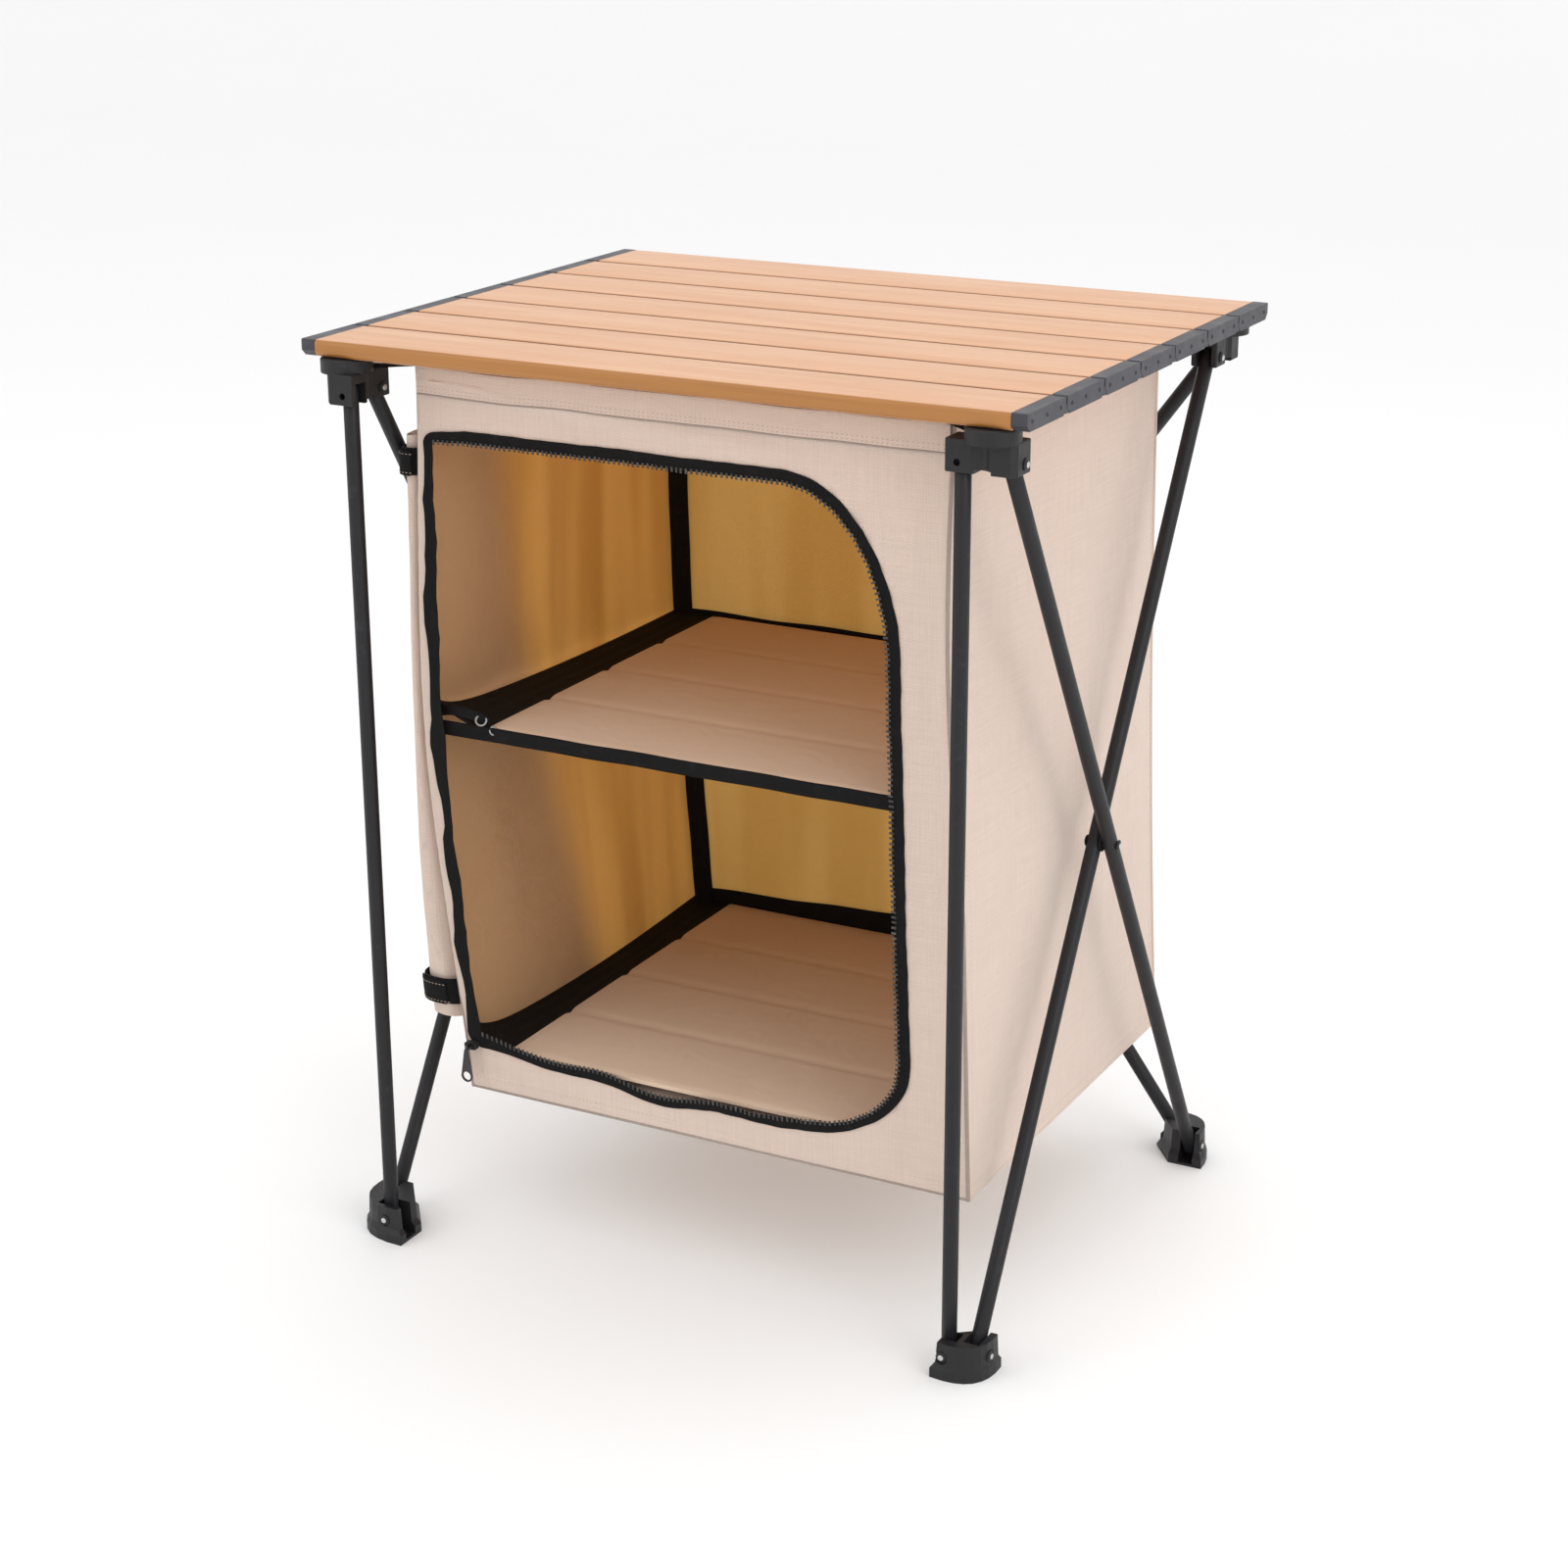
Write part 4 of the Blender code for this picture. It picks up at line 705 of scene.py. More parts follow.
for label, (under_thread, over_thread) in (("Height", ridges), ("Slub", slubs)):
    feeds = {0: over, 2: under_thread, 3: over_thread}
    shown = node(plain_weave, "ShaderNodeMix", feeds, data_type="FLOAT").outputs[0]
    plain_weave.links.new(shown, result[label])


def woven(name, across, along, pale=CANVAS, deep=CANVAS_DEEP, base=None, depth=0.00035):
    """Woven cloth whose threads run along two of the axes X, Y and Z: along YZ, they turn from Y to Z at a
    bend. base(tree, place) may give its colour, and a painted glow for the light that comes through it."""
    made, tree, place = new_finish(name, CANVAS_ROUGHNESS, specular=0.22)
    inputs = tree.nodes["Principled BSDF"].inputs
    inputs["Sheen Weight"].default_value = 0.25
    inputs["Sheen Roughness"].default_value = 0.5
    split = split_axes(tree, place)
    run = split[along[-1]]
    if len(along) == 2:
        run = maths(tree, "ADD", split[along[0]], run)
    threads = place_group(tree, plain_weave, {"Across": split[across], "Along": run, "Pitch": WEAVE_PITCH})
    dust = wear_on(tree, place, 9.0, 0.50)
    tone = mix_colour(tree, spread(tree, threads["Slub"], 0.35, 0.72, 0.0, 0.55), pale, deep)
    if base:
        own_tone, painted_glow = base(tree, place)
        tone = mix_colour(tree, 0.80, tone, own_tone)
        # Painted light: the inner side glows by emission, though it is no lamp.
        if painted_glow:
            tree.links.new(painted_glow, inputs["Emission Color"])
            inputs["Emission Strength"].default_value = PAINTED_GLOW
    # Painted shade: the hollows between the threads are darkened.
    thread_hollow_shade = spread(tree, threads["Height"], 0.0, 0.5, 0.30, 0.0)
    tone = mix_colour(tree, thread_hollow_shade, tone, tinted(deep, 0.45))
    tone = mix_colour(tree, maths(tree, "MULTIPLY", dust["Mask"], 0.16), tone, deep)
    dull = spread(tree, dust["Tone"], 0.3, 0.7, CANVAS_ROUGHNESS - 0.06, CANVAS_ROUGHNESS + 0.08)
    creases = noise_at(tree, place, 30.0, 3.0, distortion=0.8)
    wire(tree, tone, dull, [(maths(tree, "ADD", threads["Height"], threads["Slub"]), 0.6, depth),
                            (creases, 0.35, 0.004)])
    return made


def lit_through(band_axis, pale, deep, shade=None):
    """The golden inner side of a wall that daylight comes through, painted as light with a painted glow, with
    darker upright bands painted as shade where its folds stand closer or further off. Where shade is given,
    painted shade of that colour lies in front of a slanting line."""
    def base(tree, place):
        split = split_axes(tree, place)
        lowered = maths(tree, "MULTIPLY", split["Z"], 0.9)
        flat = node(tree, "ShaderNodeCombineXYZ", {"X": split[band_axis], "Y": lowered}).outputs[0]
        # Painted shade: darker upright bands for the folds of the cloth.
        bands = drawn_noise(tree, flat, (16.0, 1.6, 1.0), 2.0)
        tone = mix_colour(tree, spread(tree, bands, 0.38, 0.64, smooth=True), pale, deep)
        if not shade:
            return tone, tone
        # Painted shade of the rolled door: in front of a slanting line the tone turns brown and the glow
        # nearly fades.
        line = maths(tree, "ADD", split["Y"], maths(tree, "MULTIPLY", split["Z"], 0.21))
        front = spread(tree, line, 0.035, 0.095, 1.0, 0.0, smooth=True)
        return mix_colour(tree, front, tone, shade), mix_colour(tree, front, tone, tinted(shade, 0.12))
    return base


def wrap_surface(u, v, depth):
    """The roof, which dips a little, and from its rear edge down the back."""
    x = BOX_LEFT + INSIDE + u * (BOX_RIGHT - BOX_LEFT - 2 * INSIDE)
    along = v * (ROOF_LONG + BOX_TALL)
    if along < ROOF_LONG:
        dip = ROOF_DIP * rise(u) * rise(along / ROOF_LONG)
        y = min(BOX_FRONT + INSIDE + along, BOX_BACK - depth * CLOTH)
        return hang(x, y, BOX_TOP - depth * CLOTH - dip)
    t = (along - ROOF_LONG) / BOX_TALL
    z = min(BOX_TOP - depth * CLOTH, BOX_TOP - t * BOX_TALL)
    stand = rise(t) * rise(u) * (BACK_STAND + BACK_CRUMPLE * crumple(x, 0.0, z, 3.0))
    return hang(x, BOX_BACK - depth * CLOTH, z) + Vector((0, stand, 0))


canvas_face = woven("canvas_face", "X", "YZ")
# Painted light: the back's inner side is golden and glowing for the light through it.
back_inside = woven("back_inside", "X", "YZ", BACK_GOLD_LIT, BACK_DEEP,
                    base=lit_through("X", BACK_GOLD_LIT, BACK_DEEP))
wrap = soft_piece("roof_and_back_cloth", cloth_sheet(wrap_surface, 48, 104), "canvas", canvas_face,
                  back_inside, stands_for="cupboard_wrap")


# Side walls
# Each side is one panel of the same canvas, sewn to the roof and back, painted a little lighter outside than
# the front for the light on it. It hangs in soft upright folds.
# The left one is painted golden inside, with a painted glow, for the light that comes through it, and painted
# brown at its front as shade of the rolled door outside.
# Painted light and shade: the golden inner tones and their glow stand for light through the canvas, and the
# brown shade tone is painted shade of the rolled door.
SIDE_GOLD_LIT = (0.640, 0.334, 0.074)
SIDE_DEEP = (0.450, 0.204, 0.032)
SIDE_SHADE = (0.515, 0.315, 0.168)
SIDE_BELLY = 0.006
SIDE_WAVE = 0.0024
SIDE_CRUMPLE = 0.0035
CALM_FADE = 0.15
WALLS = {"left": (BOX_LEFT, -1, 7.0, 0.13), "right": (BOX_RIGHT, 1, 11.0, 0.02)}


def side_stand(u, v):
    """How far a wall's cloth stands out from its plane, at shares of its depth and height."""
    wave = math.sin(math.tau * (3.5 * u + v / 3.5)) * rise(u)
    return (SIDE_BELLY * rise(v) + SIDE_WAVE * (1 + wave)) * math.sqrt(rise(u)) * rise(v)


def wall_surface(x, outward, seed, calm):
    """A side wall. It keeps to its plain folds in front of calm, where the rolled door lies against it."""
    def surface(u, v, depth):
        y = BOX_FRONT + INSIDE + u * (BOX_BACK - BOX_FRONT - 2 * INSIDE)
        z = BOX_BOTTOM + v * BOX_TALL
        loose = math.sqrt(rise(u) * rise(v)) * clamp((u - calm) / CALM_FADE)
        stand = max(0.0, side_stand(u, v) + SIDE_CRUMPLE * crumple(0.0, y, z, seed) * loose)
        return hang(x, y, z) + Vector((outward * (stand - depth * CLOTH), 0, 0))
    return surface


# Painted light: the sides' outer canvas is made a little lighter than the front's, for the light that falls
# on them.
canvas_side_lit = woven("canvas_side_lit", "Y", "Z", tinted(CANVAS, 1.06))
side_inside = woven("side_inside", "Y", "Z", SIDE_GOLD_LIT, SIDE_DEEP,
                    base=lit_through("Y", SIDE_GOLD_LIT, SIDE_DEEP, SIDE_SHADE))
for name, own in WALLS.items():
    panel = soft_piece(name + "_wall_cloth", cloth_sheet(wall_surface(*own), 56, 84), "canvas", canvas_side_lit,
                       side_inside, stands_for=f"cupboard_{name}_wall")


# Cupboard floor
# A plain panel of canvas under the lower shelf, sewn to the walls.
# It sags a little, most at its front edge.
FLOOR_Z = 0.1527
FLOOR_SAG = 0.002
FLOOR_FRONT_SAG = 0.0085


def floor_surface(u, v, depth):
    """The floor, sagging between the walls and more along its front edge."""
    x = BOX_LEFT + INSIDE + u * (BOX_RIGHT - BOX_LEFT - 2 * INSIDE)
    y = BOX_FRONT + INSIDE + v * (BOX_BACK - BOX_FRONT - 2 * INSIDE)
    sag = FLOOR_SAG * rise(u) * rise(v) + FLOOR_FRONT_SAG * rise(u) ** 0.7 * (1 - v) ** 4
    return hang(x, y, FLOOR_Z - depth * CLOTH - sag)


canvas_level = woven("canvas_level", "X", "Y")
bottom = soft_piece("floor_cloth", cloth_sheet(floor_surface, 24, 20), "canvas", canvas_level, canvas_level,
                    stands_for="cupboard_floor")


# Shelves
# Two soft shelves: a board in four panels inside a cover of brown cloth, creased between the panels.
# They rest in loops of webbing sewn to the walls.
SHELF_TOPS = {"mid": 0.440, "lower": 0.160}
SHELF_THICK = 0.007
SHELF_LEFT = -0.1922
SHELF_RIGHT = 0.2188
SHELF_FRONT = -0.1866
SHELF_BACK = 0.1898
SHELF_DEEP_WAY = SHELF_BACK - SHELF_FRONT
SHELF_CREASE = 0.0022
SHELF_CREASE_WIDE = 0.0045
SHELF_ROUND = 0.0016
SHELF_ROUND_SHARE = 0.012
SHELF_LUMP = 0.0007
# Painted light: the cover's colour runs from the pale tone at its front to the dark one at its rear.
SHELF_PALE = (0.735, 0.555, 0.415)
SHELF_DARK = (0.590, 0.370, 0.198)


def shelf_shade(tree, place):
    """Painted light: the cover is made lighter to the front, where it catches the room's light, and darker to
    the rear.
    """
    back = spread(tree, split_axes(tree, place)["Y"], -0.14, 0.17)
    return mix_colour(tree, back, SHELF_PALE, SHELF_DARK), None


def shelf_surface(top, seed):
    """A shelf's cover: creased across at the quarters of its depth, and rounded at its edges."""
    def surface(u, v, depth):
        x = SHELF_LEFT + u * (SHELF_RIGHT - SHELF_LEFT)
        y = SHELF_FRONT + v * SHELF_DEEP_WAY
        off = min(abs(v * 4 - line) for line in (1, 2, 3)) / 4 * SHELF_DEEP_WAY
        crease = SHELF_CREASE * math.exp(-(off / SHELF_CREASE_WIDE) ** 2)
        edge = min(u, 1 - u, v, 1 - v)
        round_off = SHELF_ROUND * (1 - clamp(edge / SHELF_ROUND_SHARE)) ** 2
        lump = SHELF_LUMP * crumple(x, y, top, seed) * clamp(edge / 0.05)
        if depth:
            return hang(x, y, top - SHELF_THICK + crease * 0.3 + round_off)
        return hang(x, y, top - 0.0002 - crease - round_off + min(0.0, lump))
    return surface


shelf_cloth = woven("shelf_cover", "X", "Y", SHELF_PALE, SHELF_DARK, base=shelf_shade, depth=0.00025)
for name, top in SHELF_TOPS.items():
    board = soft_piece(name + "_shelf_cover", cloth_sheet(shelf_surface(top, top * 31), 48, 96), "board",
                       shelf_cloth, shelf_cloth, stands_for=name + "_shelf")


# Shelf webbing and bindings
# Black polyester webbing carries each shelf along its left side. Narrower binding is folded over the
# upper shelf's front edge, over the shelves' rear edges and over the seam in the rear left corner.
TAPE_BLACK = (0.0060, 0.0055, 0.0055)
TAPE_WORN = (0.016, 0.015, 0.015)
RIB_PITCH = 0.0009
WEB_LEFT = BOX_LEFT + INSIDE
WEB_WIDE = 0.0357
WEB_THICK = 0.0030
WEB_BOWS = {"mid": 0.0025, "lower": 0.0060}
WEB_TILT = 0.0035
WEB_WAVE = 0.0009
WEB_RIDGE = 0.0004
WEB_ROUND = 0.0008
WEB_TURN_UP = 0.020
BINDING_Z = 0.434
BINDING_TALL = 0.0118
BINDING_THICK = 0.0015
CORNER_TAPE_X = BOX_LEFT + 0.0096
CORNER_TAPE_Y = 0.1866
CORNER_TAPE_WIDE = 0.017
CORNER_TAPE_THICK = 0.0011
REAR_TAPE_LEFT = -0.2165
REAR_TAPE_LONG = 0.4345
REAR_TAPE_Y = 0.1916
REAR_TAPE_DOWN = 0.006
REAR_TAPE_TALL = {"mid": (0.003, 0.0035), "lower": (0.010, 0.030)}
RIGHT_WAY, BACK_WAY, UP_WAY = Vector((1, 0, 0)), Vector((0, 1, 0)), Vector((0, 0, 1))


def ribbed_tape(name, ribs):
    """Black narrow-woven tape with close ribs along one of the axes X, Y and Z."""
    made, tree, place = new_finish(name, 0.80, specular=0.14)
    split = split_axes(tree, place)
    other = "Z" if ribs != "Z" else "Y"
    feeds = {"Across": split[ribs], "Along": split[other], "Pitch": RIB_PITCH}
    threads = place_group(tree, plain_weave, feeds)
    wear = wear_on(tree, place, 70.0, 0.52)
    base = mix_colour(tree, threads["Slub"], TAPE_BLACK, tinted(TAPE_BLACK, 1.8))
    worn = mix_colour(tree, maths(tree, "MULTIPLY", wear["Mask"], 0.6), base, TAPE_WORN)
    wire(tree, worn, spread(tree, threads["Slub"], low=0.66, high=0.90), [(threads["Height"], 0.8, 0.0003)])
    return made


def web_surface(top, seed, bow):
    """A shelf's webbing: it turns up at its front left corner and bows down between its ends."""
    def surface(u, v, depth):
        x = WEB_LEFT + u * WEB_WIDE
        y = SHELF_FRONT + v * SHELF_DEEP_WAY
        drop = WEB_TILT * (math.sin(math.pi * u / 2) - 0.5)
        wave = WEB_WAVE * noise.noise(Vector((x * 20, y * 22, seed))) * rise(u)
        ridge = WEB_RIDGE * (math.cos(math.tau * 3 * u) - 1)
        rolled = WEB_ROUND * (1 - clamp(min(u, 1 - u) / 0.08)) ** 2
        turned_up = WEB_TURN_UP * math.exp(-v / 0.055) * (1 - u) ** 1.5 - bow * rise(v) * (1 - 0.55 * u)
        if depth:
            return hang(x, y, top - drop - WEB_THICK + rolled + turned_up)
        return hang(x, y, top - drop + wave + ridge - rolled + turned_up)
    return surface


def strip(path, wide_way, wide, out_way, thick, steps_wide=6):
    """A flat tape along a path of points, with eased edges: wide_way runs across it, out_way off its back."""
    section = [(-0.5, 0.0), (-0.5, 0.7), (-0.46, 1.0)]
    section += [(-0.46 + 0.92 * i / steps_wide, 1.0) for i in range(1, steps_wide)]
    section += [(0.46, 1.0), (0.5, 0.7), (0.5, 0.0)]
    return skin([[point + wide_way * (a * wide) + out_way * (b * thick) for a, b in section]
                 for point in path])


tape_along_x, tape_along_y, tape_upright = (ribbed_tape("tape_" + way, axis) for way, axis in
                                            (("along_x", "X"), ("along_y", "Y"), ("upright", "Z")))
for name, top in SHELF_TOPS.items():
    web = cloth_sheet(web_surface(top, top * 17, WEB_BOWS[name]), 18, 90)
    soft_piece(name + "_shelf_web", web, "webbing", tape_along_y, tape_along_y,
               stands_for=name + "_shelf_webbing")

steps = [i / 80 for i in range(81)]
path = [hang(WEB_LEFT + 0.004 + t * 0.4465, BOX_FRONT + INSIDE + 0.0016,
             BINDING_Z + 0.0009 * noise.noise(Vector((t * 9, 0, 2)))) for t in steps]
soft_piece("mid_shelf_front_tape", strip(path, UP_WAY, BINDING_TALL, -BACK_WAY, BINDING_THICK), "webbing",
           tape_along_x, stands_for="mid_shelf_binding")

corner_tapes = []
for low, high, foot_bow in ((0.1585, 0.430, 0.003), (0.4385, 0.724, 0.0)):
    path = []
    for t in steps:
        z = low + t * (high - low)
        bow = 0.0016 * noise.noise(Vector((z * 14, 5.0, 0))) + foot_bow * (1 - t)
        path.append(hang(CORNER_TAPE_X, CORNER_TAPE_Y, z) + Vector((bow, 0.0, 0)))
    corner_tapes.append(strip(path, RIGHT_WAY * 0.8 + BACK_WAY * 0.6, CORNER_TAPE_WIDE,
                              RIGHT_WAY * 0.6 - BACK_WAY * 0.8, CORNER_TAPE_THICK))
soft_piece("rear_corner_tapes", merged(corner_tapes), "webbing", tape_upright)

rear_tapes = []
for name, (left_tall, right_tall) in REAR_TAPE_TALL.items():
    top, rows = SHELF_TOPS[name], []
    for t in steps:
        tall = left_tall + (right_tall - left_tall) * t + 0.0015 * noise.noise(Vector((t * 7, top, 0)))
        point = hang(REAR_TAPE_LEFT + t * REAR_TAPE_LONG, REAR_TAPE_Y, top - 0.0005)
        section = ((0, -REAR_TAPE_DOWN), (-0.0010, -REAR_TAPE_DOWN), (-0.0012, tall / 2), (-0.0010, tall),
                   (0, tall))
        rows.append([point + Vector((0, depth, up)) for depth, up in section])
    rear_tapes.append(skin(rows))
soft_piece("rear_shelf_tapes", merged(rear_tapes), "webbing", tape_along_x)


# Front panel
# A panel of canvas with a wide doorway cut in it, its top hem turned down under the tabletop. The zip
# tape sewn round the doorway puckers it slightly. Thin welts close its seams to the walls and floor; they are
# coloured darker as painted seam shadow, and a dark cord along the hem's lower edge is a painted shadow line.
OPEN_LEFT = -0.219
OPEN_RIGHT = 0.170
OPEN_BOTTOM = 0.166
OPEN_TOP = 0.672
TOP_CURVE = (0.085, 0.125)
BOTTOM_CURVE = (0.070, 0.058)
LEFT_CURVE = (0.004, 0.004)
ZIP_SAG = 0.016
ZIP_RIPPLE = 0.0034
ARC_STEPS = 24
RUN_STEPS = 44
PANEL_RINGS = 13
HEM_TALL = 0.021
HEM_THICK = 0.0011
SLIDE_X = 0.1592
SLIDE_Z = -0.0159
SLIDER_ROOM = 0.009
SLIDER_FADE = 0.060
SOFT_LIFT = 0.0046
PUCKER_LIFT = 0.0008
PUCKER_LONG = 0.023
PUCKER_FADE = 0.016
FOLD_LIFT = 0.0042
FOLD_LONG = 0.33
FOLD_DOWN = 0.008
FOLD_FALL = 0.030
CREASE_LIFT = 0.0024
CREASE_HALF = 0.005
CREASE_ANGLE = 0.75
CREASE_FROM = (OPEN_RIGHT - 0.040, OPEN_TOP - 0.060)
CREASES = ((-0.30, 0.030, 0.085), (0.05, 0.022, 0.100), (0.42, 0.026, 0.080))
SEAM_IN = 0.0006
SEAM_Z = BOX_BOTTOM + 0.0012
WELT_R = 0.0016
THIN_WELT_R = 0.0015
# Painted shadow: a dark cord along the hem's lower edge.
HEM_SHADOW_CORD_R = 0.0009
STITCH = {"length": 0.0026, "every": 0.0040, "thick": 0.00035}
THREAD = (0.46, 0.35, 0.27)
THREAD_PALE = (0.62, 0.50, 0.40)


def doorway(grow, left_share=0.62):
    """Points round the doorway, drawn wider by grow, from its lower right corner round to its lower edge.
    At its left it grows by left_share of that."""
    left, right = OPEN_LEFT - grow * left_share, OPEN_RIGHT + grow
    bottom, top = OPEN_BOTTOM - grow, OPEN_TOP + grow
    corners = [(right, bottom, BOTTOM_CURVE), (right, top, TOP_CURVE), (left, top, LEFT_CURVE),
               (left, bottom, LEFT_CURVE)]
    arcs = []
    for quarter, (x, z, (wide, tall)) in enumerate(corners):
        wide, tall = wide + grow, tall + grow
        cx, cz = (x - wide if x == right else x + wide), (z + tall if z == bottom else z - tall)
        turns = [math.pi / 2 * (quarter - 1 + i / ARC_STEPS) for i in range(ARC_STEPS + 1)]
        arcs.append([(cx + wide * math.cos(a), cz + tall * math.sin(a)) for a in turns])
    points = []
    for arc, following in zip(arcs, arcs[1:] + arcs[:1]):
        (x0, z0), (x1, z1) = arc[-1], following[0]
        points += arc + [(x0 + (x1 - x0) * i / RUN_STEPS, z0 + (z1 - z0) * i / RUN_STEPS)
                         for i in range(1, RUN_STEPS)]
    sagged = []
    for x, z in points:
        t = clamp((x - left) / (right - left))
        ripple = ZIP_RIPPLE * math.sin(math.tau * (t / 0.30 - 0.22)) * rise(t / 0.85)
        sagged.append((x, z - ZIP_SAG * rise(t) - ripple if z < (bottom + top) / 2 else z))
    return sagged


def panel_edge(inner):
    """The front panel's own edge, one point for each point of the doorway, straight out to its side."""
    points = []
    for index, (x, z) in enumerate(inner):
        quarter, place = divmod(index, ARC_STEPS + RUN_STEPS)
        side_x = BOX_RIGHT if quarter in (0, 1) else BOX_LEFT
        side_z = BOX_BOTTOM if quarter in (0, 3) else BOX_TOP
        early, late = ((x, side_z), (side_x, z)) if quarter in (0, 2) else ((side_x, z), (x, side_z))
        corner = (side_x, side_z)
        points.append(corner if place == ARC_STEPS // 2 else (early if place < ARC_STEPS // 2 else late))
    return points


inner_edge = doorway(0.0)
walked = [0.0]
for (x0, z0), (x1, z1) in zip(inner_edge, inner_edge[1:] + inner_edge[:1]):
    walked.append(walked[-1] + math.hypot(x1 - x0, z1 - z0))


def front_lift(x, z, index, off):
    """How far the front stands out: a soft unevenness, and puckers along the zip that fade off it. It is
    flat where the slider runs."""
    from_x, from_z = x - OPEN_LEFT, z - OPEN_BOTTOM
    along_run = clamp((from_x * SLIDE_X + from_z * SLIDE_Z) / (SLIDE_X ** 2 + SLIDE_Z ** 2))
    off_run = math.hypot(from_x - along_run * SLIDE_X, from_z - along_run * SLIDE_Z)
    from_slider = clamp((off_run - SLIDER_ROOM) / SLIDER_FADE)
    soft = SOFT_LIFT * max(0.0, 0.35 + crumple(x, 0.0, z, 5.0)) * rise((z - BOX_BOTTOM) / BOX_TALL) ** 0.5
    turn = math.tau * walked[index] / PUCKER_LONG + 2.5 * noise.noise(Vector((walked[index] * 9, 1.0, 0)))
    pucker = PUCKER_LIFT * (1 + math.sin(turn)) * math.exp(-off / PUCKER_FADE)
    t = clamp((x - BOX_LEFT) / FOLD_LONG)
    off_fold = (z - (BOX_TOP - FOLD_DOWN - FOLD_FALL * t)) / (0.004 + 0.005 * t)
    fold = FOLD_LIFT * math.exp(-off_fold ** 2) * (1 - t) ** 0.5
    dx, dz = x - CREASE_FROM[0], z - CREASE_FROM[1]
    creases = 0.0
    for turned_by, start, stop in CREASES:
        c, s = math.cos(CREASE_ANGLE + turned_by), math.sin(CREASE_ANGLE + turned_by)
        far, off_line = dx * c + dz * s, dz * c - dx * s
        along = rise((far - start) / (stop - start))
        creases += CREASE_LIFT * along * math.exp(-(off_line / CREASE_HALF) ** 2)
    return (soft + pucker + fold + creases) * from_slider


def front_point(x, z, out):
    """A point of the cupboard's front, standing out from its plane."""
    return hang(x, BOX_FRONT, z) - Vector((0, out, 0))


def round_cord(path, radius, sides=7):
    """A thin round body along an open path."""
    rings = []
    for i, point in enumerate(path):
        way = (path[min(i + 1, len(path) - 1)] - path[max(i - 1, 0)]).normalized()
        side = way.orthogonal().normalized() if not rings else (side - way * side.dot(way)).normalized()
        other = way.cross(side)
        angles = [math.tau * k / sides for k in range(sides)]
        rings.append([point + (side * math.cos(a) + other * math.sin(a)) * radius for a in angles])
    return skin(rings)


def stitches(path, outs, length, every, thick):
    """Threads laid along a path on cloth, with outs off the cloth. Each is a spindle between its holes."""
    bm = bmesh.new()
    travelled, due = 0.0, 0.0
    for a, b, out in zip(path, path[1:], outs):
        span = (b - a).length
        if span < 1e-9:
            continue
        way = (b - a) / span
        side = way.cross(out).normalized()
        while due <= travelled + span:
            start = a + way * (due - travelled)
            middle = start + way * (length / 2)
            ends = [bm.verts.new(hole - out * thick * 0.6) for hole in (start, start + way * length)]
            ring = [bm.verts.new(middle + offset * thick) for offset in (side, out, -side, -out)]
            for k in range(4):
                bm.faces.new((ends[0], ring[k], ring[(k + 1) % 4]))
                bm.faces.new((ends[1], ring[(k + 1) % 4], ring[k]))
            due += every
        travelled += span
    return bm


outer_edge = panel_edge(inner_edge)
fronts, backs = [], []
for share in [(i / PANEL_RINGS) ** 1.25 for i in range(PANEL_RINGS + 1)]:
    ring = []
    for index, ((x0, z0), (x1, z1)) in enumerate(zip(inner_edge, outer_edge)):
        x, z = x0 + (x1 - x0) * share, z0 + (z1 - z0) * share
        lift = front_lift(x, z, index, math.hypot(x - x0, z - z0)) * clamp((1 - share) / 0.12)
        ring.append((x, z, lift))
    fronts.append([front_point(x, z, lift) for x, z, lift in ring])
    backs.append([front_point(x, z, lift - CLOTH) for x, z, lift in ring])
canvas_front = woven("canvas_front", "X", "Z")
# Painted shade: canvas darkened for the shadow along the front's seams and under its hem.
canvas_seam_shadow = woven("canvas_seam_shadow", "X", "Z", tinted(CANVAS, 0.55), tinted(CANVAS_DEEP, 0.45))
front = soft_piece("front_panel_cloth", skin(fronts + backs[::-1], joined=True), "canvas", canvas_front,
                   stands_for="cupboard_front_panel")

hem_middle = BOX_TOP - 0.0005 - HEM_TALL / 2
hem_path = []
for i in range(121):
    x = BOX_LEFT + 0.002 + (BOX_RIGHT - BOX_LEFT - 0.004) * i / 120
    z = hem_middle + 0.0012 * noise.noise(Vector((x * 16, 3.0, 0)))
    hem_path.append(front_point(x, z, 0.0022 + 0.0016 * max(0.0, crumple(x, 0.0, z, 9.0))))
hem = soft_piece("front_top_hem", strip(hem_path, UP_WAY, HEM_TALL, -BACK_WAY, HEM_THICK, 8), "canvas",
                 canvas_front)

upright = [BOX_BOTTOM + BOX_TALL * i / 90 for i in range(91)]
across = [BOX_LEFT + (BOX_RIGHT - BOX_LEFT) * i / 90 for i in range(91)]
depths = [BOX_FRONT + (BOX_BACK - BOX_FRONT) * i / 70 for i in range(71)]
# Painted shade: these welts take canvas darkened as seam shadow, and the last cord, along the hem's lower
# edge, is a painted shadow line.
welts = [round_cord([hang(BOX_RIGHT - SEAM_IN, BOX_FRONT + SEAM_IN, z) for z in upright], 0.0017),
         round_cord([hang(BOX_LEFT + SEAM_IN, BOX_FRONT + SEAM_IN, z) for z in upright], THIN_WELT_R),
         round_cord([hang(x, BOX_FRONT + 0.0008, SEAM_Z) for x in across], WELT_R),
         round_cord([point - Vector((0, SEAM_IN, HEM_TALL / 2)) for point in hem_path], HEM_SHADOW_CORD_R)]
soft_piece("front_seam_shadow_welts", merged(welts), "canvas", canvas_seam_shadow)
welts = [round_cord([hang(x, BOX_BACK - SEAM_IN, z) for z in upright], WELT_R)
         for x in (BOX_LEFT, BOX_RIGHT)]
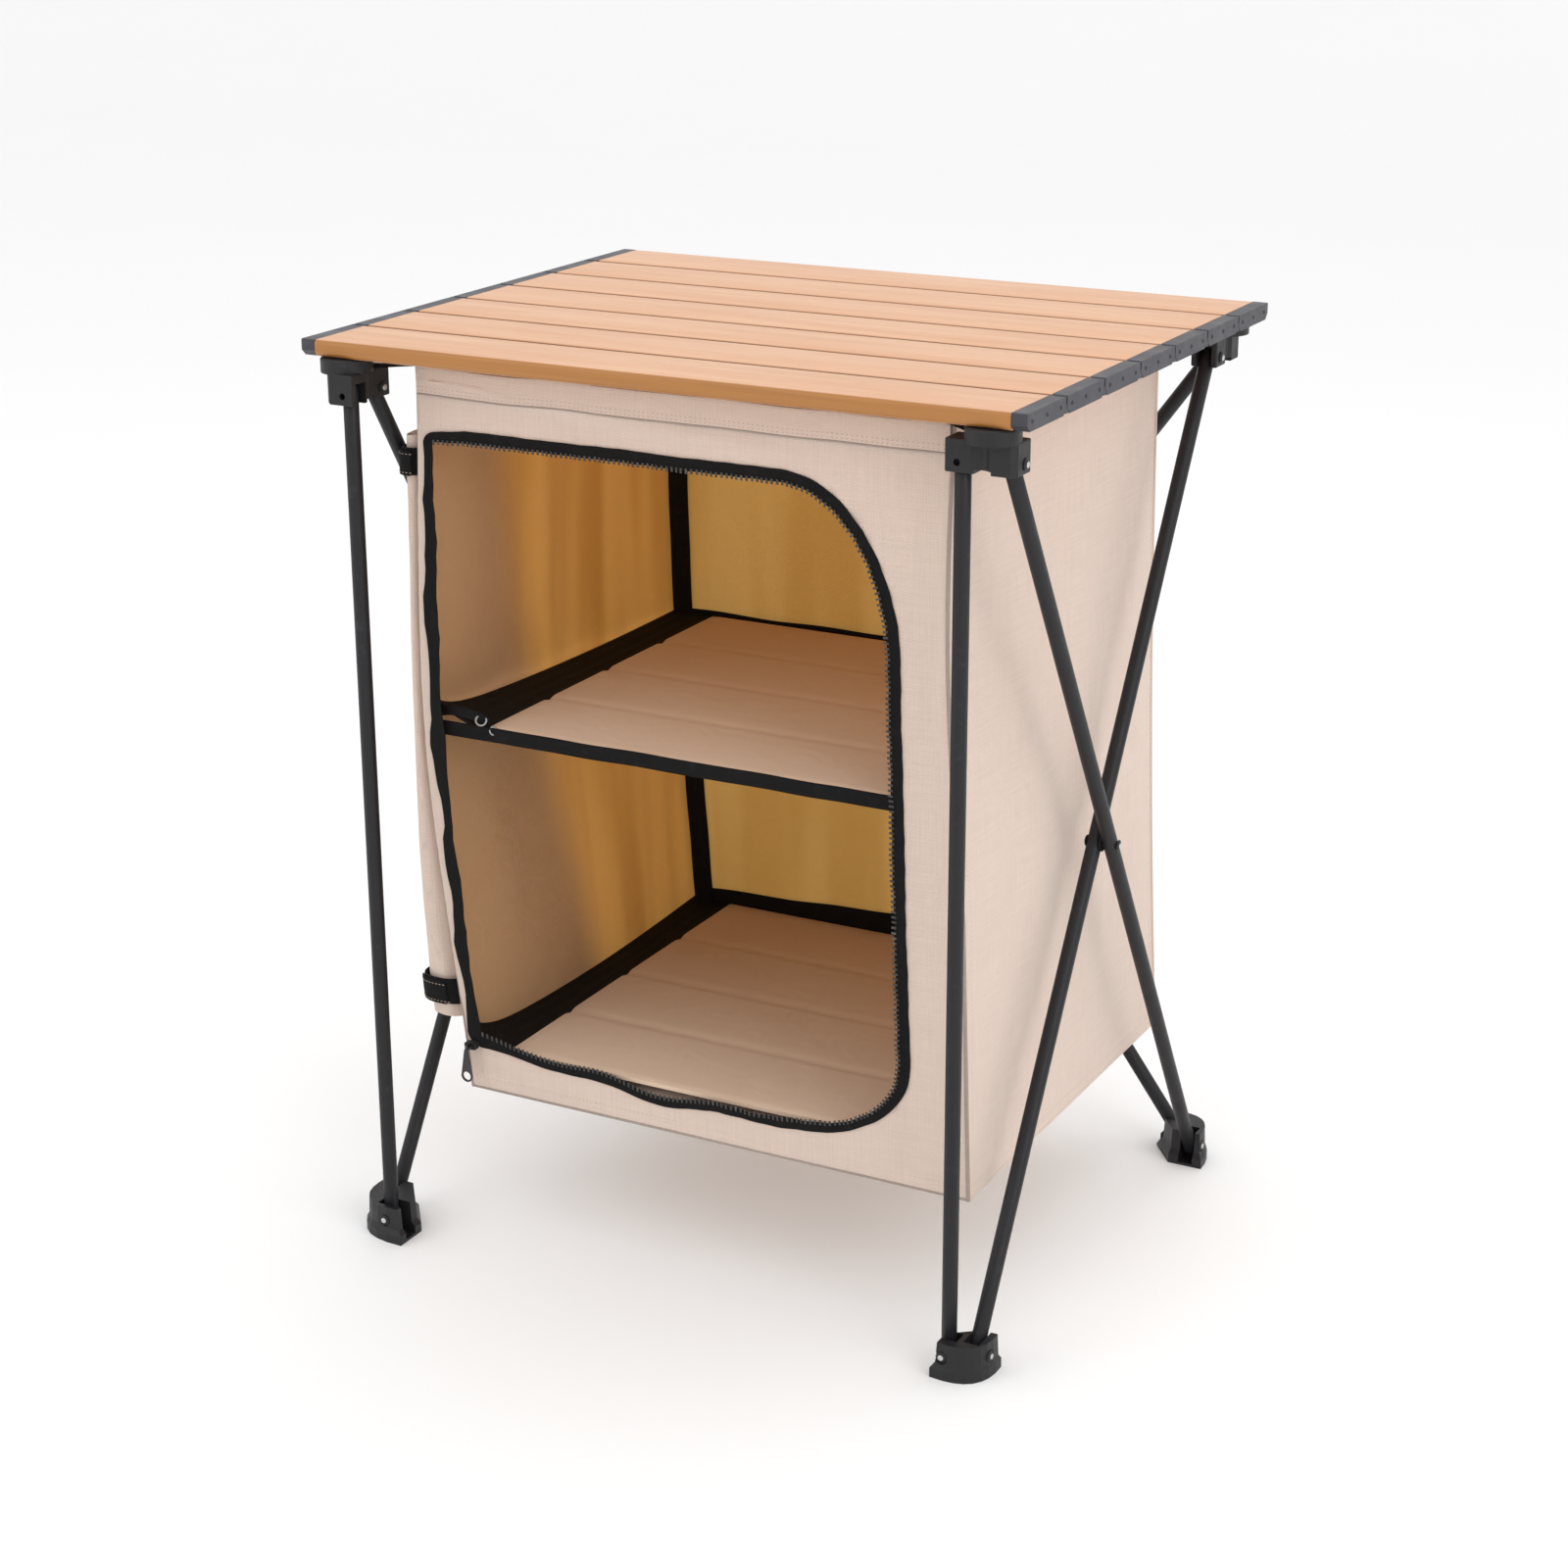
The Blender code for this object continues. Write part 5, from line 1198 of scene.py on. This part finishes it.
welts.append(round_cord([hang(x, BOX_BACK - SEAM_IN, SEAM_Z) for x in across], THIN_WELT_R))
soft_piece("back_seam_welts", merged(welts), "canvas", canvas_face)
for side, x in (("left", BOX_LEFT + SEAM_IN), ("right", BOX_RIGHT - SEAM_IN)):
    welt = round_cord([hang(x, y, SEAM_Z) for y in depths], WELT_R)
    soft_piece(side + "_bottom_welt", welt, "canvas", canvas_side_lit)

thread_finish, tree, place = new_finish("sewing_thread", 0.6)
twist = node(tree, "ShaderNodeTexWave", {"Vector": place, "Scale": 900.0, "Distortion": 1.0}).outputs["Fac"]
wire(tree, mix_colour(tree, twist, THREAD, THREAD_PALE), bumps=[(twist, 0.5, 0.0001)])
rows = [[point + Vector((0, -0.0012, BOX_TOP - HEM_TALL + above - hem_middle)) for point in hem_path]
        for above in (0.0020, 0.0050)]
rows.append([front_point(x, BOX_BOTTOM + 0.011, 0.0002) for x in across])
seams = [stitches(row, [-BACK_WAY] * len(row), **STITCH) for row in rows]
soft_piece("front_stitches", merged(seams), "canvas", thread_finish)
surface = wall_surface(*WALLS["right"])
rows = [[surface(u, t, 0.0) for t in steps] for u in (0.02, 0.98)]
rows.append([surface(t, 0.018, 0.0) for t in steps])
seams = [stitches(row, [RIGHT_WAY] * len(row), **STITCH) for row in rows]
soft_piece("right_wall_stitches", merged(seams), "canvas", thread_finish)


# Door zip
# A black zip on woven tape, sewn round the doorway: its teeth run along the top, the right and the
# bottom. The left edge, where the door hinges, is bound with the same tape, and it waves.
ZIP_THICK = 0.0014
TAPE_SPAN = 0.013
TAPE_WIDE = 0.0080
TAPE_IN = 0.0015
LEFT_BAND = 0.03
TOOTH_LONG = 0.0036
TOOTH_WIDE = 0.0018
TOOTH_EVERY = 0.0042
TOOTH_SECTION = ((-0.55, 0.0), (-0.55, 0.0006), (0.25, 0.0009), (0.55, 0.0004), (0.55, -0.0004))
TOOTH_DARK = (0.030, 0.028, 0.027)
TOOTH_WORN = (0.095, 0.088, 0.080)


def tape_wide(index):
    """How wide the tape shows at a point of the doorway: widest and least even down its left side."""
    x, z = inner_edge[index]
    left = clamp((OPEN_LEFT + LEFT_BAND - x) / LEFT_BAND)
    low = clamp((0.21 - z) / 0.04)
    far = walked[index]
    uneven = noise.noise(Vector((far * 17, 2.0, 0))) + 0.5 * noise.noise(Vector((far * 45, 4.0, 0)))
    narrowed = 0.0034 * left * (1 - low) + 0.0026 * low * (1 - left)
    return TAPE_WIDE - narrowed + uneven * (0.0007 + 0.0030 * left + 0.0010 * low)


def tape_in(index):
    """How far the tape's toothed edge stands into the doorway."""
    x, z = inner_edge[index]
    loose = clamp((OPEN_LEFT + LEFT_BAND - x) / LEFT_BAND) + 0.8 * clamp((0.20 - z) / 0.03)
    return TAPE_IN + 0.0022 * loose * (0.6 + noise.noise(Vector((walked[index] * 24, 8.0, 0))))


def tape_point(index, share, out):
    """A point of the tape, at a share of its width from its toothed edge and out from its back."""
    near, far = Vector(inner_edge[index]), Vector(tape_side[index])
    off = -tape_in(index) + share * (tape_wide(index) + tape_in(index))
    x, z = near + (far - near) / TAPE_SPAN * off
    return front_point(x, z, front_lift(x, z, index, max(0.0, off)) + out)


tape_side = doorway(TAPE_SPAN, 1.0)
count = len(inner_edge)
section = [(0.0, SEAM_GAP), (0.0, 0.0012), (0.05, ZIP_THICK), (0.28, ZIP_THICK - 0.0003), (0.5, ZIP_THICK),
           (0.72, ZIP_THICK - 0.0002), (0.95, ZIP_THICK), (1.0, 0.0012), (1.0, SEAM_GAP)]
tape = skin([[tape_point(i, share, out) for i in range(count)] for share, out in section], joined=True)
tape_finish = ribbed_tape("zip_tape_weave", "X")
tape = soft_piece("zip_tape_woven", tape, "webbing", tape_finish, stands_for="zip_tape")

tooth_finish, tree, place = new_finish("zip_coil", 0.42)
worn = wear_on(tree, place, 160.0, 0.50)
wire(tree, mix_colour(tree, worn["Mask"], TOOTH_DARK, TOOTH_WORN), bumps=[(worn["Tone"], 0.3, 0.0002)])
teeth, due = [], 0.0
for index in range(count):
    here, ahead = tape_point(index, 0.0, ZIP_THICK), tape_point((index + 1) % count, 0.0, ZIP_THICK)
    inward = (here - tape_point(index, 0.3, ZIP_THICK)).normalized()
    way = (ahead - here).normalized()
    out = way.cross(inward).normalized()
    out = out if out.y < 0 else -out
    while due < walked[index + 1]:
        place = here.lerp(ahead, (due - walked[index]) / (walked[index + 1] - walked[index]))
        due += TOOTH_EVERY
        if inner_edge[index][0] < OPEN_LEFT + 0.0035:
            continue
        teeth.append(skin([[place + inward * TOOTH_LONG * reach + way * TOOTH_WIDE * along
                            + out * height * thin for reach, height in TOOTH_SECTION]
                           for along, thin in ((-0.5, 0.55), (-0.2, 1.0), (0.2, 1.0), (0.5, 0.55))]))
coil = soft_piece("zip_coil_teeth", merged(teeth), "webbing", tooth_finish, sharp=40)


# Zip slider and puller
# A black enamelled slider of two plates on a bridge, with a wire bail. The puller, stamped from black
# nickel plate with a round end and a hole, hangs in the bail by its rolled eye.
BAIL = Vector((-0.21255, -0.18382, 0.1595))
BAIL_R = 0.0009
BAIL_REACH = 0.0022
BAIL_BEND = 0.0003
SLIDER_FRONT = BAIL.y + 0.0040
SLIDER_DEEP = 0.0045
SLIDER_BACK = SLIDER_FRONT + SLIDER_DEEP
SLIDER_HALF = 0.006
SLIDER_TALL = 0.0035
SLIDER_TAPER = 0.0005
BRIDGE_SHARE = 0.62
PLATE_THICK = 0.0014
EYE_BORE = 0.0012
EYE_R = 0.0026
EYE_HALF = 0.0010
EYE_EASE = 0.0003
BLADE_LONG = 0.0300
BLADE_HALF = 0.0054
BLADE_NECK = 0.0016
BLADE_HOLE_R = 0.0038
ENAMEL_BLACK = (0.014, 0.014, 0.015)
BLACK_NICKEL = (0.085, 0.08, 0.082)


def stamped_plate(outline, front, back, ease, hole=None):
    """A flat plate that faces the front, with eased edges. Its outline and hole are points in X and Z."""
    outline = [Vector(point) for point in outline]
    middle = sum(outline, Vector((0, 0))) / len(outline)
    drawn_in = [point + (middle - point).normalized() * ease for point in outline]
    rings = [[(point.x, y, point.y) for point in points] for points, y in
             ((drawn_in, front), (outline, front + ease), (outline, back - ease), (drawn_in, back))]
    if hole:
        rings = [[(x, front, z) for x, z in hole]] + rings + [[(x, back, z) for x, z in hole]]
    return skin(rings, joined=bool(hole))


def slider_outline(share):
    """A slider plate from the front: broad at the end that leads, narrower behind."""
    points = []
    for k in range(36):
        c, s = math.cos(math.tau * k / 36), math.sin(math.tau * k / 36)
        tall = SLIDER_TALL + SLIDER_TAPER * c
        points.append((BAIL.x + share * SLIDER_HALF * math.copysign(abs(c) ** 0.7, c),
                       BAIL.z + share * tall * math.copysign(abs(s) ** 0.7, s)))
    return points


half_bail = [(0.0012, 0.0), (BAIL_REACH - BAIL_BEND, BAIL_BEND), (BAIL_REACH, 0.0010), (BAIL_REACH, 0.0046)]
bail_path = [BAIL + Vector((-x, y, 0)) for x, y in half_bail[::-1]]
bail_path += [BAIL + Vector((x, y, 0)) for x, y in half_bail]
parts = [stamped_plate(slider_outline(share), start, end, ease) for share, start, end, ease in
         ((1.0, SLIDER_FRONT, SLIDER_FRONT + PLATE_THICK, 0.0003),
          (BRIDGE_SHARE, SLIDER_FRONT + PLATE_THICK / 2, SLIDER_BACK - PLATE_THICK / 2, 0.0002),
          (1.0, SLIDER_BACK - PLATE_THICK, SLIDER_BACK, 0.0003))]
slider = merged(parts + [round_cord(bail_path, BAIL_R, 12)])
enamel_finish = moulded_plastic("black_enamel", ENAMEL_BLACK, 0.30, 1800.0, 0.00004)
slider = hard_piece("zip_slider_enamelled", slider, enamel_finish, "zip_slider", "zip_slider",
                    sharp=40)
drawn_back(slider)

blade_x, blade_z = BAIL.x, BAIL.z - BLADE_LONG + BLADE_HALF
blade_top = BAIL.z - 0.0008 - blade_z
neck_angles = [math.radians(90 + off) for off in (-5.5, -3.57, -2.0, 2.0, 3.57, 5.5)]
blade_edge, blade_hole = [], []
for a in sorted([math.tau * k / 48 for k in range(48)] + neck_angles):
    c, s = math.cos(a), math.sin(a)
    reach = BLADE_HALF
    if s > 0:
        side_on = BLADE_HALF / (abs(c) + (BLADE_HALF - BLADE_NECK) / blade_top * s)
        reach = max(BLADE_HALF, min(side_on, blade_top / s))
    blade_edge.append((blade_x + reach * c, blade_z + reach * s))
    blade_hole.append((blade_x + BLADE_HOLE_R * c, blade_z + BLADE_HOLE_R * s))
blade_front = BAIL.y - EYE_R
eye_section = [(EYE_BORE, -EYE_HALF), (EYE_R - EYE_EASE, -EYE_HALF), (EYE_R, -EYE_HALF + EYE_EASE),
               (EYE_R, EYE_HALF - EYE_EASE), (EYE_R - EYE_EASE, EYE_HALF), (EYE_BORE, EYE_HALF)]
puller = merged([stamped_plate(blade_edge, blade_front, blade_front + PLATE_THICK, 0.0002, blade_hole),
                 turned(eye_section, BAIL, RIGHT_WAY, 24)])
puller = hard_piece("zip_puller_stamped", puller, bright_steel("black_nickel", BLACK_NICKEL, 0.32),
                    "zip_puller", "zip_puller")
drawn_back(puller)


# Rolled door
# The unzipped door, a panel of the same canvas, rolled up from its right edge and strapped upright
# outside the left wall's front edge. Its outer turn is creased, and drawn in under the straps.
ROLL_REACHES = {0.058: 0.0250, 0.100: 0.0270, 0.140: 0.0283, 0.230: 0.0320, 0.310: 0.0355, 0.390: 0.0395,
                0.460: 0.0405, 0.510: 0.0390, 0.552: 0.0365}
ROLL_TOP, ROLL_FOOT = min(ROLL_REACHES), max(ROLL_REACHES)
ROLL_FRONT = 0.005
ROLL_DEEP = 0.044
ROLL_TURNS = 4
ROLL_OFF_WALL = 0.0028
ROLL_CLOTH = 0.0007
ROLL_START = 0.5
ROLL_SHRINK = 0.66
ROLL_RUCK = 0.0020
ROLL_PLEAT = 0.0009
STRAP_PINCH = 0.013
STRAP_DROPS = {"upper": 0.079, "lower": 0.529}
STRAP_WIDE = 0.022
STRAP_THICK = 0.0016


def roll_reach(drop):
    """How far the roll stands out to the left, at a distance below the roof."""
    places = list(ROLL_REACHES.items())
    for (near, first), (far, second) in zip(places, places[1:]):
        if drop <= far:
            return first + (second - first) * (drop - near) / (far - near)
    return places[-1][1]


def roll_frame(drop):
    """The middle and the half width of the roll at a distance below the roof."""
    z = BOX_TOP - drop
    walls = []
    for i in range(14):
        y = BOX_FRONT + ROLL_FRONT + ROLL_DEEP * i / 13
        u = (y - BOX_FRONT) / (BOX_BACK - BOX_FRONT)
        walls.append(hang(BOX_LEFT, y, z).x - side_stand(u, (z - BOX_BOTTOM) / BOX_TALL))
    inner, outer = min(walls) - ROLL_OFF_WALL, BOX_LEFT - roll_reach(drop)
    return (inner + outer) / 2, hang(0, BOX_FRONT + ROLL_FRONT + ROLL_DEEP / 2, z).y, (inner - outer) / 2


def roll_point(drop, turn_angle, scale, grow):
    """A point of a turn of the roll: scale is 1 at the outside and smaller within."""
    middle_x, middle_y, half_x = roll_frame(drop)
    c, s = math.cos(turn_angle), math.sin(turn_angle)
    x = math.copysign(abs(c) ** 0.8, c) * (half_x * scale + grow)
    y = math.copysign(abs(s) ** 0.8, s) * (ROLL_DEEP / 2 * (scale * 0.9 + 0.1) + grow)
    return Vector((middle_x + x, middle_y + y, BOX_TOP - drop))


def door_surface(u, v, depth):
    """The rolled door: u runs round its turns from the outside in, and v up it."""
    drop = ROLL_FOOT - v * (ROLL_FOOT - ROLL_TOP)
    pinch = sum(math.exp(-((drop - at) / STRAP_PINCH) ** 2) for at in STRAP_DROPS.values())
    angle = math.tau * ROLL_TURNS * u + ROLL_START
    scale = 1 - ROLL_SHRINK * u
    ruck = 0.55 + 0.45 * crumple(0.5 * math.cos(angle), 0.5 * math.sin(angle), drop * 1.6, 21.0)
    pleat = 0.5 + 0.5 * math.sin(angle * 5 + 6 * noise.noise(Vector((drop * 6, 1.0, 0))))
    slack = ROLL_RUCK * max(0.0, ruck) * (1 - 0.7 * pinch) + ROLL_PLEAT * pleat * (0.4 + pinch)
    return roll_point(drop, angle, scale, -slack * scale - depth * ROLL_CLOTH)


door_finish = woven("door_cloth", "Y", "Z")
door = soft_piece("rolled_door_cloth", cloth_sheet(door_surface, 150, 90), "canvas", door_finish, door_finish,
                  stands_for="rolled_door", sharp=70)


# Door straps
# Two hook-and-loop straps of black webbing, sewn to the wall, each closed round the rolled door. The
# loose end of each lies on the outside, sewn along both its edges with pale thread.
STRAP_SIDES = 48
STRAP_TILT = 0.0012
END_FROM, END_SPAN = -150, 75
END_SECTION = ((-0.47, 0.0021), (-0.44, 0.0034), (0.0, 0.0036), (0.44, 0.0034), (0.47, 0.0021))
STRAP_STITCH = {"length": 0.0024, "every": 0.0034, "thick": 0.0004}
END_SEAM_SHARE = 0.34
END_SEAM_OUT = 0.0037
for name, drop in STRAP_DROPS.items():
    levels = [(drop - STRAP_WIDE / 2 + STRAP_WIDE * i / 6, SEAM_GAP + STRAP_THICK * (1 if 0 < i < 6 else 0.7))
              for i in range(7)]
    levels += [(drop + STRAP_WIDE / 2 - STRAP_WIDE * i / 2, SEAM_GAP) for i in range(3)]
    angles = [math.tau * k / STRAP_SIDES for k in range(STRAP_SIDES)]
    rings = [[roll_point(level + STRAP_TILT * math.sin(a), a, 1.0, grow) for a in angles]
             for level, grow in levels]
    rows = []
    for k in range(15):
        taper = 0.86 if k in (0, 14) else 1.0
        angle = math.radians(END_FROM + END_SPAN * k / 14)
        rows.append([roll_point(drop + STRAP_WIDE * part * taper, angle, 1.0, grow)
                     for part, grow in END_SECTION])
    seams = []
    for part in (-END_SEAM_SHARE, END_SEAM_SHARE):
        angles = [math.radians(END_FROM + END_SPAN * k / 40) for k in range(41)]
        row = [roll_point(drop + STRAP_WIDE * part, a, 1.0, END_SEAM_OUT) for a in angles]
        middle_x, middle_y, _ = roll_frame(drop)
        outs = [Vector((point.x - middle_x, point.y - middle_y, 0)).normalized() for point in row]
        seams.append(stitches(row, outs, **STRAP_STITCH))
    soft_piece(name + "_strap_webbing", skin(rings, joined=True), "webbing", tape_upright,
                                  stands_for=name + "_strap", sharp=50)
    soft_piece(name + "_strap_end", skin(rows), "webbing", tape_upright, sharp=50)
    soft_piece(name + "_strap_stitches", merged(seams), "webbing", thread_finish)


# Corner ties
# Four flat tapes sewn to the roof, one to the rim of each bracket's disc, carry the cupboard. A short
# looped tie with two small steel rings holds the upper shelf's front left corner.
TIE_ON_ROOF = 0.020
TIE_ON_DISC = 0.0203
TIE_Z = 0.7262
TIE_WIDE = 0.0136
TIE_THICK = 0.0012
LOOP_LEFT, LOOP_LONG, LOOP_Z = -0.2215, 0.032, 0.4465
LOOP_BOW = 0.0055
LOOP_FALL = 0.004
LOOP_STAND = 0.0050
LOOP_SUNK = 0.0060
LOOP_TALL = 0.0085
LOOP_THICK = 0.0014
RINGS = (((-0.1955, 0.4450, -0.0025), (0.4, -0.8, 0.5), 0.0042),
         ((-0.1850, 0.4375, -0.0030), (0.2, -0.9, 0.2), 0.0030))
RING_WIRE_R = 0.0009
RING_STEEL = (0.36, 0.36, 0.36)
for corner in QUARTERS:
    centre = at_corner(corner, 0, 0, 0)
    roof = Vector((BOX_RIGHT if centre.x > 0 else BOX_LEFT, BOX_BACK if centre.y > 0 else BOX_FRONT, 0))
    along = (roof - centre).normalized()
    start, end = roof + along * TIE_ON_ROOF, centre + along * TIE_ON_DISC
    path = []
    for t in [i / 24 for i in range(25)]:
        lift = TIE_Z + 0.0014 * clamp(t / 0.35) + 0.0003 * rise((t - 0.4) / 0.6)
        path.append(start.lerp(end, t) + Vector((0, 0, lift)))
    tie = strip(path, Vector((-along.y, along.x, 0)), TIE_WIDE, UP_WAY, TIE_THICK)
    tie = hard_piece("corner_tape_" + corner, tie, tape_along_x, "bracket_" + corner, sharp=60)
    drawn_back(tie)

path = []
for t in [i / 40 for i in range(41)]:
    bow = math.sin(math.pi * t)
    z = LOOP_Z + LOOP_BOW * bow - LOOP_FALL * t
    path.append(front_point(LOOP_LEFT + LOOP_LONG * t, z, LOOP_STAND * bow ** 2 - LOOP_SUNK))
soft_piece("shelf_corner_tie", strip(path, UP_WAY, LOOP_TALL, -BACK_WAY, LOOP_THICK), "webbing", tape_along_x)
rings = []
for place, way, radius in RINGS:
    angles = [math.tau * k / 10 for k in range(10)]
    wire_section = [(radius + RING_WIRE_R * math.cos(a), RING_WIRE_R * math.sin(a)) for a in angles]
    rings.append(turned(wire_section, front_point(*place), Vector(way).normalized(), 28))
ring_finish = bright_steel("ring_steel", RING_STEEL, 0.34)
rings = hard_piece("shelf_corner_rings", merged(rings), ring_finish, "cupboard", sharp=60)
drawn_back(rings)
